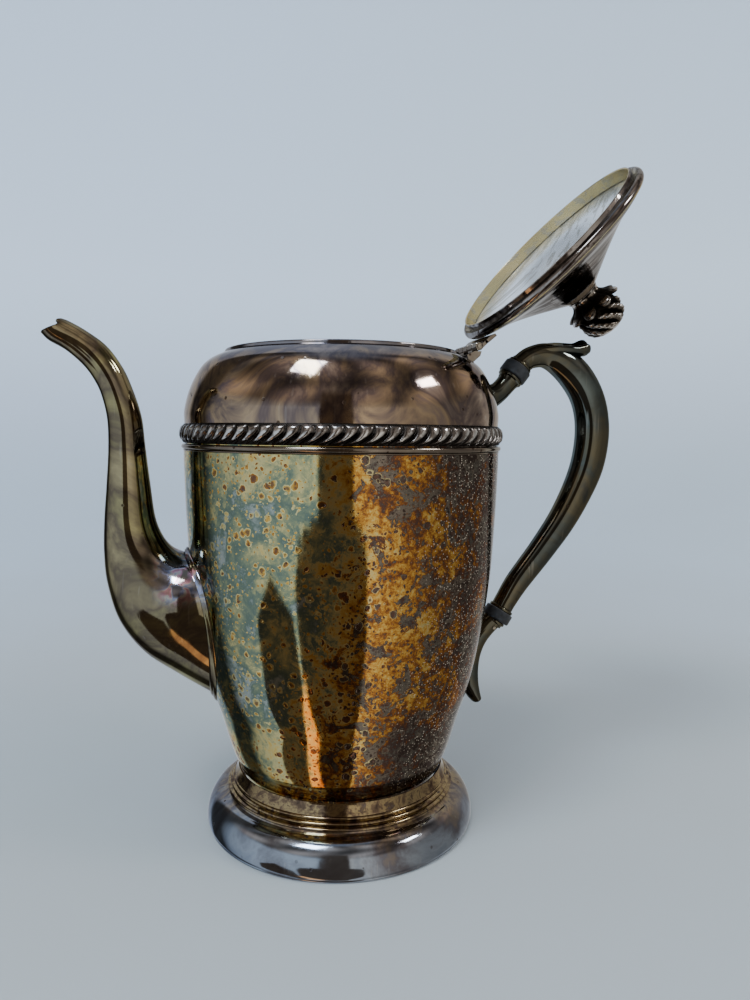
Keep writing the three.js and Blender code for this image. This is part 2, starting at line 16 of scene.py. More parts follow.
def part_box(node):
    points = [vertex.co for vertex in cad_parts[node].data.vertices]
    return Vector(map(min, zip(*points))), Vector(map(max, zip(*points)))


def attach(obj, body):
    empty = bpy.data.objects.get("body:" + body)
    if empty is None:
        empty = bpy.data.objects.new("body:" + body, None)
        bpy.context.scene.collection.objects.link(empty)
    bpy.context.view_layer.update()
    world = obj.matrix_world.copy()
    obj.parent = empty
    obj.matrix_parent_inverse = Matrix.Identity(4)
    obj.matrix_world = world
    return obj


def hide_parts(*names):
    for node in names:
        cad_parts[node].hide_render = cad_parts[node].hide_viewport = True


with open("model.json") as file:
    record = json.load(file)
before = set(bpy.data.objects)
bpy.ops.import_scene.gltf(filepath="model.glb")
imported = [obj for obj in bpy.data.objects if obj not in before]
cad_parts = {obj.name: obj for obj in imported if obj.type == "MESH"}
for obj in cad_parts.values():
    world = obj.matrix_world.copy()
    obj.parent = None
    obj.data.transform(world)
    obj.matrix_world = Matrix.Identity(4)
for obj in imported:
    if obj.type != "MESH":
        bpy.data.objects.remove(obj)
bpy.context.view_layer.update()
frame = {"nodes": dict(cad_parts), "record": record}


def middle_x(node):
    low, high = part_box(node)
    return (low.x + high.x) / 2


# ---- driving values ----

MM = 0.001
AXIS_X = middle_x("shoulder_dome")  # metres
LID_HINGE = frame["record"]["behaviour"]["joints"][0]
HINGE_AT = Vector(LID_HINGE["pos_m"])
OPEN_ANGLE = math.radians(LID_HINGE["range_deg"][1])
HINGE_X = (HINGE_AT.x - AXIS_X) / MM
HINGE_Z = HINGE_AT.z / MM

AROUND = 192  # facets round the large turned pieces
WALL = 1.5
SEAM = 0.04  # how far apart soldered pieces stand
BODY_TOP_RADIUS = 64.1
NECK_RADIUS = 62.9
NECK_TOP = 165.0
MOUTH_RADIUS = 46.1
MOUTH_TOP = 194.6
FOOT_RADIUS = 56.15
BORDER_BOTTOM = 157.6
BORDER_TOP = NECK_TOP
BORDER_INNER = 63.3
BORDER_RADIUS = 65.75
BORDER_LOBES = 82
KNUCKLES = 5
HINGE_WIDTH = 25.0
HINGE_GAP = 0.3
KNUCKLE_RADIUS = 1.75
INSULATOR_RADIUS = 6.3
FINIAL_BASE = 220.4
FINIAL_PETALS = 8
BUD_LEAVES = 9


# ---- curves and meshes ----


def curve(points, each=6):
    """A smooth curve through the given points, with so many steps to each span."""
    given = np.array(points, float)
    first = 2 * given[0] - given[1]
    last = 2 * given[-1] - given[-2]
    held = np.vstack([first, given, last])
    result = []
    for a, b, c, d in zip(held, held[1:], held[2:], held[3:]):
        for t in np.arange(each) / each:
            bend = (2 * a - 5 * b + 4 * c - d) * t**2 + (3 * b - a - 3 * c + d) * t**3
            result.append((2 * b + (c - a) * t + bend) / 2)
    result.append(given[-1])
    return np.array(result)


def arc(centre, radii, start, stop, steps):
    """Points of an arc in an outline, between two angles in degrees."""
    angles = np.radians(np.linspace(start, stop, steps + 1))
    across = centre[0] + radii[0] * np.cos(angles)
    up = centre[1] + radii[1] * np.sin(angles)
    return np.stack([across, up], 1)


def moved_left(outline, distance):
    """The same outline, moved to the left of its direction."""
    ahead = np.roll(outline, -1, 0)
    behind = np.roll(outline, 1, 0)
    ahead[-1] = outline[-1]
    behind[0] = outline[0]
    step = ahead - behind
    length = np.hypot(step[:, 0], step[:, 1])[:, None]
    normal = np.stack([-step[:, 1], step[:, 0]], 1) / length
    moved = outline + distance * normal
    moved[:, 0] = np.where(outline[:, 0] == 0, 0, moved[:, 0])
    return moved


def walled(outline, thickness):
    """A wall of even thickness, on the left of an outline."""
    return np.vstack([outline, moved_left(outline, thickness)[::-1]])


def grid_faces(rows, columns, closed=False):
    """Quads between rows of points; every row closes on itself, and the rows may do so too."""
    faces = []
    for i in range(rows if closed else rows - 1):
        after = (i + 1) % rows
        for k in range(columns):
            beside = (k + 1) % columns
            corners = (i * columns + k, i * columns + beside)
            faces.append((*corners, after * columns + beside, after * columns + k))
    return faces


def put_in_scene(name, data):
    thing = bpy.data.objects.new(name, data)
    bpy.context.scene.collection.objects.link(thing)
    return thing


def solid(name, shells, sharp=32):
    """One mesh of closed shells, each a pair of points (mm, from the pot's axis) and faces."""
    vertices = []
    faces = []
    for points, shell_faces in shells:
        start = len(vertices)
        vertices += [(p[0] * MM + AXIS_X, p[1] * MM, p[2] * MM) for p in points]
        faces += [tuple(start + i for i in face) for face in shell_faces]
    mesh = bpy.data.meshes.new(name)
    mesh.from_pydata(vertices, [], faces)
    form = bmesh.new()
    form.from_mesh(mesh)
    bmesh.ops.remove_doubles(form, verts=form.verts, dist=1e-6)
    bmesh.ops.recalc_face_normals(form, faces=form.faces)
    form.to_mesh(mesh)
    form.free()
    mesh.polygons.foreach_set("use_smooth", np.ones(len(mesh.polygons), bool))
    mesh.set_sharp_from_angle(angle=math.radians(sharp))
    return put_in_scene(name, mesh)


def lathe(outline, around=AROUND, closed=True):
    """The shell of an outline turned about the pot's axis."""
    outline = np.array(outline, float)
    angles = np.arange(around) * 2 * math.pi / around
    x = outline[:, 0, None] * np.cos(angles)
    y = outline[:, 0, None] * np.sin(angles)
    z = np.repeat(outline[:, 1, None], around, 1)
    points = np.stack([x, y, z], 2).reshape(-1, 3)
    return points, grid_faces(len(outline), around, closed)


def skin(rings, closed=False):
    """The shell over a stack of rings; its ends are covered unless the stack closes on itself."""
    rings = np.array(rings)
    count, sides = rings.shape[:2]
    points = rings.reshape(-1, 3)
    faces = grid_faces(count, sides, closed)
    if closed:
        return points, faces
    points = np.vstack([points, rings[0].mean(0), rings[-1].mean(0)])
    final = (count - 1) * sides
    for k in range(sides):
        beside = (k + 1) % sides
        faces.append((beside, k, count * sides))
        faces.append((final + k, final + beside, count * sides + 1))
    return points, faces


def turned_about(shell, origin, direction):
    """A lathe's shell on another axis: origin and direction are [x, z] in the middle plane."""
    points, faces = shell
    along = np.array([direction[0], 0, direction[1]]) / math.hypot(*direction)
    across = np.array([along[2], 0, -along[0]])
    middle = np.array([origin[0], 0, origin[1]])
    sideways = np.array([0, 1, 0])
    placed = middle + points[:, :1] * across + points[:, 1:2] * sideways + points[:, 2:] * along
    return placed, faces


def along_y(shell, x, z):
    """A lathe's shell laid along Y through a point of the middle plane."""
    points, faces = shell
    return np.stack([x + points[:, 0], points[:, 2], z + points[:, 1]], 1), faces


def bar_rings(stations, each=6, sides=48, section=None):
    """Rings along a bar of stations [x, z, half height, half width] in the middle plane."""
    line = curve(stations, each)
    step = np.gradient(line[:, :2], axis=0)
    step /= np.hypot(step[:, 0], step[:, 1])[:, None]
    angles = np.arange(sides) * 2 * math.pi / sides
    rings = []
    for i, (x, z, high, wide) in enumerate(line):
        up, out = np.cos(angles), np.sin(angles)
        if section:
            up, out = section(angles, i / (len(line) - 1))
        px = x - step[i, 1] * high * up
        pz = z + step[i, 0] * high * up
        rings.append(np.stack([px, wide * out, pz], 1))
    return np.array(rings)


def domed_cap(ring, inner, reach, steps=5):
    """Rings that close an end with a dome; inner is the ring before the last one."""
    centre = ring.mean(0)
    out = centre - inner.mean(0)
    out /= np.linalg.norm(out)
    angles = np.linspace(0, math.pi / 2, steps + 1)[1:]
    return [centre + (ring - centre) * max(math.cos(angle), 0.02) + out * reach * math.sin(angle)
            for angle in angles]


def rounded_ends(rings, near=0.0, far=0.0):
    """The same rings with domed caps that stand out by near and far."""
    start = domed_cap(rings[0], rings[1], near)[::-1] if near else []
    end = domed_cap(rings[-1], rings[-2], far) if far else []
    return np.array(start + list(rings) + end)


def slab(outline, low, high):
    """A plate: an [x, z] outline with a width along Y."""
    flat = np.array(outline, float)
    sides = [np.stack([flat[:, 0], np.full(len(flat), y), flat[:, 1]], 1) for y in (low, high)]
    return skin(sides)


def mark(piece, name, values):
    """Keeps one number for each vertex, for the piece's material to read."""
    attribute = piece.data.attributes.new(name, "FLOAT", "POINT")
    attribute.data.foreach_set("value", np.asarray(values, np.float32))


def radius_and_height(piece):
    """How far each vertex is from the pot's axis, and how high, in millimetres."""
    flat = np.zeros(len(piece.data.vertices) * 3, np.float32)
    piece.data.vertices.foreach_get("co", flat)
    points = (flat.reshape(-1, 3) - [AXIS_X, 0, 0]) / MM
    return np.hypot(points[:, 0], points[:, 1]), points[:, 2]


def open_lid(piece):
    """Turns a piece shaped on the closed lid back about the hinge pin."""
    turn = Matrix.Rotation(OPEN_ANGLE, 4, "Y")
    piece.data.transform(Matrix.Translation(HINGE_AT) @ turn @ Matrix.Translation(-HINGE_AT))


def settle(piece, body, slot, material, *nodes):
    """Gives a finished piece its material and its body, turns a lid piece open, and hides the CAD
    nodes it stands for.
    """
    piece.data.materials.append(material)
    if body == "lid":
        open_lid(piece)
    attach(piece, body)
    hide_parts(*nodes)


# ---- outlines ----

BODY_SIDE = curve(
    [[42.6, 24.2], [46.1, 33], [50.1, 46.5], [55.6, 65], [61.3, 98.5], [63.3, 127],
     [BODY_TOP_RADIUS, 150]],
    9,
)
DOME_SIDE = curve(
    [[63.7, NECK_TOP + 0.1], [63.7, 170.4], [61.7, 178.3], [57.8, 186.2], [53.9, 190.3],
     [48.2, 193.2]],
    9,
)
POT_SKIN = np.vstack([BODY_SIDE, [[BODY_TOP_RADIUS, NECK_TOP]], DOME_SIDE])


def pot_radius(height):
    """How far the pot's outer skin is from its axis."""
    return np.interp(height, POT_SKIN[:, 1], POT_SKIN[:, 0])


def laid_on_pot(rings):
    """Rings whose points inside the pot's skin are brought out to lie on it."""
    radius = np.hypot(rings[..., 0], rings[..., 1])
    skin_radius = pot_radius(rings[..., 2]) + SEAM
    scale = np.where(radius < skin_radius, skin_radius / np.maximum(radius, 1e-6), 1)
    laid = rings.copy()
    laid[..., :2] *= scale[..., None]
    return laid


def points_along(line, at):
    """Points at so many steps from the start of a line of points."""
    steps = np.arange(len(line))
    return np.stack([np.interp(at, steps, line[:, i]) for i in range(3)], 1)


def cut_at_pot(lines, count, gap=SEAM):
    """Lines that run into the pot, each cut at its skin and divided evenly."""
    result = []
    for line in lines:
        clear = np.hypot(line[:, 0], line[:, 1]) - pot_radius(line[:, 2]) - gap
        inside = int(np.argmax(clear < 0))
        end = inside - 1 + clear[inside - 1] / (clear[inside - 1] - clear[inside])
        result.append(points_along(line, np.linspace(0, end, count)))
    return np.array(result)


# ---- body, dome, mouth, border and foot ----


def body_shell(material):
    floor = curve([[0, 18.5], [20, 18.6], [36, 19.4], [41.2, 21.4]], 5)
    step = [[BODY_TOP_RADIUS, 154.6], [BODY_TOP_RADIUS - 0.3, 154.9], [NECK_RADIUS, 154.9]]
    outline = np.vstack([floor, BODY_SIDE, step, [[NECK_RADIUS, NECK_TOP]]])
    piece = solid("body", [lathe(walled(outline, WALL))])
    settle(piece, "pot", "plated_body", material, "body_shell")


def shoulder_dome(material):
    piece = solid("dome", [lathe(walled(DOME_SIDE, WALL))])
    settle(piece, "pot", "plated_dome", material, "shoulder_dome")


def mouth_collar(material):
    outer = 47.8
    lip = arc((outer - 0.85, MOUTH_TOP - 0.6), (0.85, 0.6), 0, 180, 10)
    outline = np.vstack([[[MOUTH_RADIUS, 190.8], [outer, 190.8]], lip])
    settle(solid("mouth_ring", [lathe(outline)]), "pot", "plated_dome", material, "mouth_collar")


def border_bead(material):
    wire = arc((64.05, 156.3), (0.95, 1.0), -90, 90, 12)
    thin = arc((63.9, 154.95), (0.42, 0.35), -90, 90, 6)
    shells = [lathe(np.vstack([[[BORDER_INNER, bottom]], form, [[BORDER_INNER, top]]]))
              for bottom, form, top in ((155.3, wire, 157.3), (154.6, thin, 155.3))]
    settle(solid("border_wire", shells), "pot", "plated_border", material, "border_bead")


def lobe_sweep(height):
    """How far round, in radians, the lobes have swung at a height: upright on top, swept below."""
    return math.radians(-0.163) * np.minimum(163.6 - height, 6.0) ** 2


def gadroon_relief(up, side):
    """How high the border's comma-shaped lobes stand, 0 to 1, for places up and across a lobe."""
    width = 0.13 + 0.31 * np.clip((up - 0.06) / 0.62, 0, 1) ** 0.8
    ends = np.clip((up - 0.08) / 0.14, 0, 1) * np.clip((0.95 - up) / 0.10, 0, 1) ** 0.5
    lobe = np.sqrt(np.clip(1 - (side / width) ** 2, 0, 1)) * ends
    rib = 0.45 * np.exp(-(((0.5 - np.abs(side)) / 0.07) ** 2)) * np.clip((0.9 - up) / 0.2, 0, 1)
    return np.maximum(lobe, rib)


def level_ring(radius, angles, height):
    return np.stack([radius * np.cos(angles), radius * np.sin(angles),
                     np.full(len(angles), height)], 1)


def gadroon_border(material):
    rows = 30
    columns_each = 20
    columns = columns_each * BORDER_LOBES
    lobe_height = 1.15
    side = (np.arange(columns) % columns_each) / columns_each - 0.5
    start = np.arange(columns) * 2 * math.pi / columns
    rings = []
    reliefs = []
    for i in range(rows + 1):
        up = (1 - math.cos(math.pi * i / rows)) / 2
        height = BORDER_BOTTOM + (BORDER_TOP - BORDER_BOTTOM) * up
        relief = gadroon_relief(up, side)
        swell = math.sin(math.pi * up) ** 0.5
        rise = swell * (BORDER_RADIUS - BORDER_INNER - 0.5 - lobe_height * (1 - relief))
        rings.append(level_ring(BORDER_INNER + 0.5 + rise, start + lobe_sweep(height), height))
        reliefs.append(relief)
    for height in (BORDER_TOP, BORDER_BOTTOM):
        rings.append(level_ring(BORDER_INNER, start + lobe_sweep(height), height))
        reliefs.append(np.zeros(columns))
    piece = solid("gadroon", [skin(rings, closed=True)], sharp=60)
    mark(piece, "relief", np.concatenate(reliefs))
    settle(piece, "pot", "plated_border", material, "gadroon_border")


def foot_ring(material):
    top = curve([[43.3, 23.9], [43.45, 22.9], [43.9, 21.4], [44.6, 19.9]], 5)
    reeds = [arc((r, z), (0.95, 0.72), 78, -52, 8) for r, z in
             ((44.55, 18.75), (45.65, 17.1), (46.75, 15.5))]
    crease = [[47.6, 14.5], [48.5, 13.9]]
    bulge = arc((FOOT_RADIUS - 8.75, 3.0), (8.75, 10.9), 80, -4, 34)
    edge = curve([[56.0, 1.9], [55.75, 1.3], [55.3, 1.0]], 3)
    inside = curve([[54.0, 2.4], [53.7, 6.2], [51.2, 10.2], [47.6, 12.3], [45.2, 14.4],
                    [43.3, 18.0], [42.6, 20.8], [42.75, 23.7]], 4)
    outline = np.vstack([top, *reeds, crease, bulge, edge, inside])
    settle(solid("foot", [lathe(outline)], sharp=24), "pot", "plated_foot", material, "foot_ring")


def foot_rim_wire(material):
    round_edge = arc((54.75, 1.0), (0.95, 0.97), -75, 90, 10)
    outline = np.vstack([[[53.6, 0.5], [54.1, 0.0], [55.0, 0.0]], round_edge, [[53.6, 1.97]]])
    settle(solid("foot_wire", [lathe(outline)]), "pot", "plated_foot", material, "foot_rim_wire")


# ---- spout ----

# From the mouth to the root: front edge x, z, back edge x, z, half width, lean of the widest line.
SPOUT_STATIONS = [
    [-115.1, 198.1, -107.9, 203.4, 6.2, 0],
    [-112.4, 195.4, -105.2, 202.4, 5.6, 0],
    [-106.5, 192.0, -99.5, 199.3, 5.2, 0],
    [-100.5, 186.6, -92.5, 194.2, 5.4, 0],
    [-96.8, 181.3, -87.3, 187.4, 5.6, 0],
    [-94.3, 175.5, -83.7, 180.0, 5.8, 0],
    [-92.4, 166.2, -79.8, 167.8, 6.3, 0],
    [-92.3, 154.6, -78.3, 155.0, 6.8, 0],
    [-93.2, 141.0, -76.8, 141.6, 7.8, 0],
    [-94.3, 127.0, -75.1, 128.5, 9.0, 0],
    [-94.6, 114.0, -72.4, 121.0, 10.6, 0.03],
    [-93.5, 102.0, -68.8, 116.4, 13.4, 0.06],
    [-89.2, 87.5, -64.0, 114.0, 17.6, 0.1],
    [-80.3, 74.9, -59.5, 113.4, 21.0, 0.15],
    [-68.0, 65.5, -55.0, 113.2, 22.4, 0.18],
    [-54.0, 56.0, -50.0, 113.0, 22.4, 0.18],
    [-40.0, 47.0, -44.0, 113.0, 22.4, 0.18],
]
SPOUT_SIDES = 120
SPOUT_EACH = 10


def spout_lines(grown, ridge=0.0):
    """Lines down the spout's skin from mouth to root, the skin grown by a distance."""
    stations = curve(SPOUT_STATIONS, SPOUT_EACH)
    angles = np.arange(SPOUT_SIDES) * 2 * math.pi / SPOUT_SIDES
    front, back = stations[:, 0:2], stations[:, 2:4]
    step = back - front
    reach = np.hypot(step[:, 0], step[:, 1])[:, None]
    front = front - step / reach * grown
    back = back + step / reach * grown
    half = stations[:, 4] + grown
    along = (1 + np.cos(angles)) / 2
    fade = np.clip(1 - np.arange(len(stations)) / (6.5 * SPOUT_EACH), 0, 1) ** 0.6
    turned = np.abs((angles + math.pi) % (2 * math.pi) - math.pi)
    strap = ridge * np.clip((0.95 - turned) / 0.16, 0, 1)
    x = front[:, 0, None] + (back - front)[:, 0, None] * along
    z = front[:, 1, None] + (back - front)[:, 1, None] * along
    x = x + step[:, 0, None] / reach * strap * fade[:, None]
    z = z + step[:, 1, None] / reach * strap * fade[:, None]
    y = half[:, None] * np.sin(angles) * (1 + stations[:, 5, None] * np.cos(angles))
    return np.stack([x, y, z], 2).transpose(1, 0, 2)


def mouth_dip():
    """How many steps below the mouth's plane its rim lies: low at the sides, high at both ends."""
    turned = np.arange(SPOUT_SIDES) * 2 * math.pi / SPOUT_SIDES
    from_back = np.abs((turned + math.pi) % (2 * math.pi) - math.pi)
    tongue = np.clip((from_back - 0.55) / 0.45, 0, 1)
    lip = np.clip((math.pi - from_back) / 1.9, 0, 1) ** 1.5
    return 6.5 * tongue * tongue * (3 - 2 * tongue) * lip


def from_rim(lines, dip):
    """Each line started at its own place below the mouth's plane."""
    steps = np.arange(lines.shape[1])
    return np.array([points_along(line, start + (steps[-1] - start) * steps / steps[-1])
                     for line, start in zip(lines, dip)])


def spout(material):
    count = 150
    dip = mouth_dip()
    outer = cut_at_pot(from_rim(spout_lines(0.0, 0.55), dip), count).transpose(1, 0, 2)
    inner = cut_at_pot(from_rim(spout_lines(-WALL), dip), count).transpose(1, 0, 2)
    ahead = outer[0].mean(0) - outer[3].mean(0)
    ahead /= np.linalg.norm(ahead)
    lip = [(outer[0] * (1 - t) + inner[0] * t) + ahead * 0.5 * math.sin(math.pi * t)
           for t in (0.2, 0.4, 0.6, 0.8)]
    rings = np.concatenate([inner[::-1], lip[::-1], outer])
    piece = solid("spout_shell", [skin(rings, closed=True)], sharp=28)
    settle(piece, "pot", "plated_spout", material, "spout")


def spout_flange(material):
    """The narrow moulding soldered round the spout's root."""
    profile = [(0.05, 0.2), (0.1, 1.35), (0.8, 1.5), (1.35, 1.1), (1.6, 0.75), (2.0, 0.85),
               (2.35, 0.5), (2.4, SEAM), (0.05, SEAM)]
    rings = [cut_at_pot(spout_lines(grown), 2, gap)[:, -1] for grown, gap in profile]
    piece = solid("spout_moulding", [skin(rings, closed=True)], sharp=40)
    settle(piece, "pot", "plated_spout", material, "spout_flange")


# ---- handle, sockets and insulators ----

UPPER_JOINT = {"at": (76.7, 189.4), "towards": (0.62, 0.785), "thick": 5.6}
LOWER_JOINT = {"at": (71.4, 81.8), "towards": (0.54, 0.842), "thick": 4.8}


def insulator(name, node, joint, material):
    half = joint["thick"] / 2
    rim = INSULATOR_RADIUS
    bevel = 0.7
    profile = [[0, -half]] + list(arc((rim - bevel, bevel - half), (bevel, bevel), -90, 0, 5))
    profile += list(arc((rim - bevel, half - bevel), (bevel, bevel), 0, 90, 5)) + [[0, half]]
    shell = turned_about(lathe(profile, 96, closed=False), joint["at"], joint["towards"])
    settle(solid(name, [shell], sharp=50), "pot", "insulator", material, node)


def ferrule(joint, side, radius, length=2.6):
    """The collar at the end of a socket or of the handle, against an insulator."""
    start = joint["thick"] / 2 + SEAM
    profile = [[0, start], [radius - 0.3, start], [radius, start + 0.3]]
    profile += list(arc((radius - 0.5, start + 0.9), (0.5, 0.5), 0, 80, 4))
    profile += [[radius - 0.75, start + 1.6], [radius - 0.9, start + length], [0, start + length]]
    direction = [t * side for t in joint["towards"]]
    return turned_about(lathe(profile, 64, closed=False), joint["at"], direction)


HANDLE_STATIONS = [
    [79.0, 192.1, 4.7, 4.7],
    [80.6, 193.7, 4.7, 4.6],
    [84.2, 195.9, 4.9, 4.7],
    [90.5, 197.0, 5.5, 5.0],
    [97.8, 194.9, 6.8, 5.8],
    [105.2, 189.4, 7.6, 6.4],
    [111.2, 181.4, 7.7, 6.6],
    [114.6, 172.0, 7.8, 6.7],
    [115.4, 161.0, 7.9, 6.7],
    [113.4, 148.5, 7.7, 6.6],
    [108.6, 136.5, 7.1, 6.3],
    [101.4, 123.5, 6.5, 5.9],
    [91.6, 110.0, 5.9, 5.4],
    [80.6, 96.3, 5.4, 5.0],
    [75.4, 88.4, 4.9, 4.8],
    [73.6, 85.4, 4.8, 4.8],
]


def handle_section(angles, at):
    """The handle's section: an oval, a little narrower towards the hand's outer side."""
    pear = 1 - 0.09 * np.cos(angles) * math.sin(math.pi * at)
    return np.cos(angles), np.sin(angles) * pear


def leaf_section(angles, _):
    """The thumb leaf's section: keen edges, a midrib and a hollow on each side of it."""
    up = np.cos(angles)
    out = np.sin(angles)
    top = up > 0
    rib = 0.30 * np.exp(-((out / 0.16) ** 2)) - 0.28 * np.exp(-(((np.abs(out) - 0.55) / 0.22) ** 2))
    lifted = np.where(top, np.abs(up) ** 0.8 + rib * np.abs(up) ** 0.3, -np.abs(up) ** 0.7)
    return lifted, out


def thumb_leaf():
    """The leaf under the thumb, whose blunt tip turns up off the handle."""
    stations = [[82.6, 197.6, 1.2, 1.4], [86.0, 198.4, 2.0, 3.4], [91.0, 199.2, 2.4, 4.8],
                [96.0, 199.7, 2.5, 5.6], [101.0, 199.6, 2.5, 5.9], [104.6, 199.6, 2.6, 5.6],
                [107.4, 200.0, 3.1, 5.2], [109.6, 200.5, 3.2, 4.8], [110.8, 200.6, 2.6, 4.0]]
    rings = bar_rings(stations, 8, 64, leaf_section)
    return skin(rounded_ends(rings, 0.8, 1.2))


def handle(material):
    rings = bar_rings(HANDLE_STATIONS, 8, 64, handle_section)
    shells = [skin(rings), thumb_leaf()]
    shells += [ferrule(UPPER_JOINT, 1, 5.6), ferrule(LOWER_JOINT, 1, 5.5)]
    settle(solid("handle_scroll", shells, sharp=38), "pot", "plated_handle", material, "handle")


def upper_socket(material):
    stations = [[58.0, 175.8, 7.6, 7.8], [61.4, 176.9, 6.8, 6.9], [65.0, 178.2, 5.5, 5.6],
                [69.0, 180.5, 4.6, 4.7], [72.4, 183.9, 4.5, 4.6], [74.6, 186.7, 4.9, 4.9]]
    rings = laid_on_pot(bar_rings(stations, 8, 64))
    piece = solid("socket_upper", [skin(rings), ferrule(UPPER_JOINT, -1, 5.7)], sharp=40)
    settle(piece, "pot", "plated_handle", material, "upper_handle_socket")


def lower_socket(material):
    stations = [[69.0, 79.8, 4.5, 4.4], [65.4, 76.4, 4.6, 4.0], [62.0, 71.4, 4.3, 3.4],
                [59.7, 65.4, 4.1, 3.0], [58.6, 58.4, 4.1, 2.8], [58.8, 51.8, 4.0, 3.1],
                [60.1, 47.4, 3.3, 4.3], [61.6, 44.2, 2.4, 4.9]]
    rings = rounded_ends(bar_rings(stations, 8, 64), 0.0, 0.8)
    shells = [skin(laid_on_pot(rings)), ferrule(LOWER_JOINT, -1, 5.0)]
    piece = solid("socket_lower", shells, sharp=40)
    settle(piece, "pot", "plated_handle", material, "lower_handle_socket")


# ---- lid and finial, shaped closed ----


def lid_outline():
    roll = arc((46.9, 197.35), (1.7, 2.0), -68, 62, 14)
    cone = curve([[46.2, 199.7], [44.4, 200.6], [35.4, 204], [24, 210], [14, 216], [9.2, 219.0],
                  [7.7, 220.0]], 9)
    return np.vstack([roll, cone, [[2.3, 220.1]]])


def lid_shell(material):
    outline = lid_outline()
    inner = curve([[2.3, 218.8], [8.2, 218.4], [13.4, 214.9], [23.3, 208.9], [34.8, 202.8],
                   [43.8, 199.4], [45.2, 198.7]], 7)
    piece = solid("lid_skin", [lathe(np.vstack([outline, inner]))], sharp=40)
    radius, height = radius_and_height(piece)
    under = np.interp(radius, *inner.T) + 0.15
    mark(piece, "inside", (height < under) & (height > 198.3))
    mark(piece, "edge", np.clip((radius - 36) / 14, 0, 1))
    # Painted shade: within the reach of the finial's petals the lid is marked to be coloured brown
    # and made less of a mirror, as if shaded by the petals.
    petal_shade_radius = 13.0
    mark(piece, "collar", np.clip((petal_shade_radius - radius) / 0.8, 0, 1))
    settle(piece, "lid", "plated_lid", material, "lid_shell")


def lid_bezel(material):
    outline = [[44.5, 193.6], [44.7, 193.3], [45.1, 193.3], [45.3, 193.6], [45.3, 198.6],
               [44.5, 198.6]]
    piece = solid("lid_bezel_ring", [lathe(outline)])
    radius, _ = radius_and_height(piece)
    mark(piece, "inside", radius < 44.9)
    mark(piece, "edge", np.ones(len(radius)))
    settle(piece, "lid", "plated_lid", material, "lid_bezel")


def finial_shell(outline, around, shape):
    """A turned outline whose radius and height are then shaped by angle."""
    points, faces = lathe(outline, around, closed=False)
    radius = np.hypot(points[:, 0], points[:, 1])
    angle = np.arctan2(points[:, 1], points[:, 0])
    scale, lift = shape(angle, points[:, 2])
    top = np.stack([radius * scale * np.cos(angle), radius * scale * np.sin(angle),
                    points[:, 2] + lift], 1)
    return top, faces


def petal_shape(angle, height):
    """The calyx: broad petals with round tips that flare and curl at the rim."""
    bottom, tall = 220.6, 6.5
    flare = np.clip((height - bottom) / tall, 0, 1)
    wave = np.abs(np.cos(angle * FINIAL_PETALS / 2)) ** 0.7
    cut_depth, droop = 0.34, 1.8
    return 1 - flare * cut_depth * (1 - wave), -flare * droop * (1 - wave)


def bud_shape(angle, height):
    """The bud: long swirled leaves with deep hollows between them and notched backs."""
    bottom, tall = 228.5, 12.5
    up = np.clip((height - bottom) / tall, 0, 1)
    swirled = angle + 1.5 * up
    wave = np.abs(np.cos(swirled * (BUD_LEAVES / 2))) ** 0.8
    notches = 0.018 * np.sin(height * 3.4) * wave
    depth = 0.26 * np.clip(up * 5, 0, 1) * np.clip((1.03 - up) * 3, 0, 1)
    return 1 - depth * (1 - wave) + notches * (depth > 0.02), 0


def finial(material):
    calyx = np.vstack([
        [[0, FINIAL_BASE]],
        curve([[7.5, FINIAL_BASE], [7.0, 222.0], [7.6, 224.0], [9.6, 225.9], [12.0, 227.1],
               [13.0, 228.2], [12.4, 229.0]], 8),
        curve([[11.4, 228.9], [10.0, 228.0], [8.0, 227.2]], 4),
        [[0, 227.0]],
    ])
    bud = np.vstack([
        [[0, 226.5]],
        curve([[8.4, 226.9], [9.5, 229.0], [10.4, 231.6], [10.5, 234.2], [9.9, 236.9],
               [8.3, 239.3], [5.2, 241.0], [2.2, 241.6]], 9),
        [[0, 241.7]],
    ])
    shells = [finial_shell(calyx, 192, petal_shape), finial_shell(bud, 224, bud_shape)]
    piece = solid("finial_bud", shells, sharp=45)
    radius, height = radius_and_height(piece)
    crest = np.interp(height, [222, 228, 231.6, 234.2, 236.9, 239.3, 241.0],
                      [7.0, 13.0, 10.4, 10.5, 9.9, 8.3, 5.2])
    mark(piece, "relief", np.clip((radius / crest - 0.86) / 0.14, 0, 1))
    settle(piece, "lid", "oxidised_finial", material, "finial")


# ---- hinge ----


def knuckle_barrels(parity):
    """The barrels of one leaf, with the middle and width of each."""
    pitch = (HINGE_WIDTH + HINGE_GAP) / KNUCKLES
    result = []
    for k in range(parity, KNUCKLES, 2):
        start = -HINGE_WIDTH / 2 + k * pitch
        stop = start + pitch - HINGE_GAP
        r = KNUCKLE_RADIUS
        outline = [[1.0, start], [r - 0.25, start], [r, start + 0.25], [r, stop - 0.25],
                   [r - 0.25, stop], [1.0, stop]]
        result.append((along_y(lathe(outline, 48), HINGE_X, HINGE_Z), start, stop))
    return result


def hinge_body_leaf(material):
    under = HINGE_Z - KNUCKLE_RADIUS - HINGE_GAP
    half = HINGE_WIDTH / 2
    wedge = [[50.2, 193.0], [49.6, 194.6], [53.0, under], [56.0, under], [55.4, 194.4],
             [52.6, 191.9]]
    shells = [slab(wedge, -half, half)]
    for barrel, start, stop in knuckle_barrels(1):
        tab = [[53.7, 195.4], [53.7, HINGE_Z - 1.2], [56.1, HINGE_Z - 1.2], [56.1, 195.4]]
        shells += [barrel, slab(tab, start, stop)]
    settle(solid("hinge_leaf_body", shells), "pot", "plated_dome", material, "hinge_body_leaf")


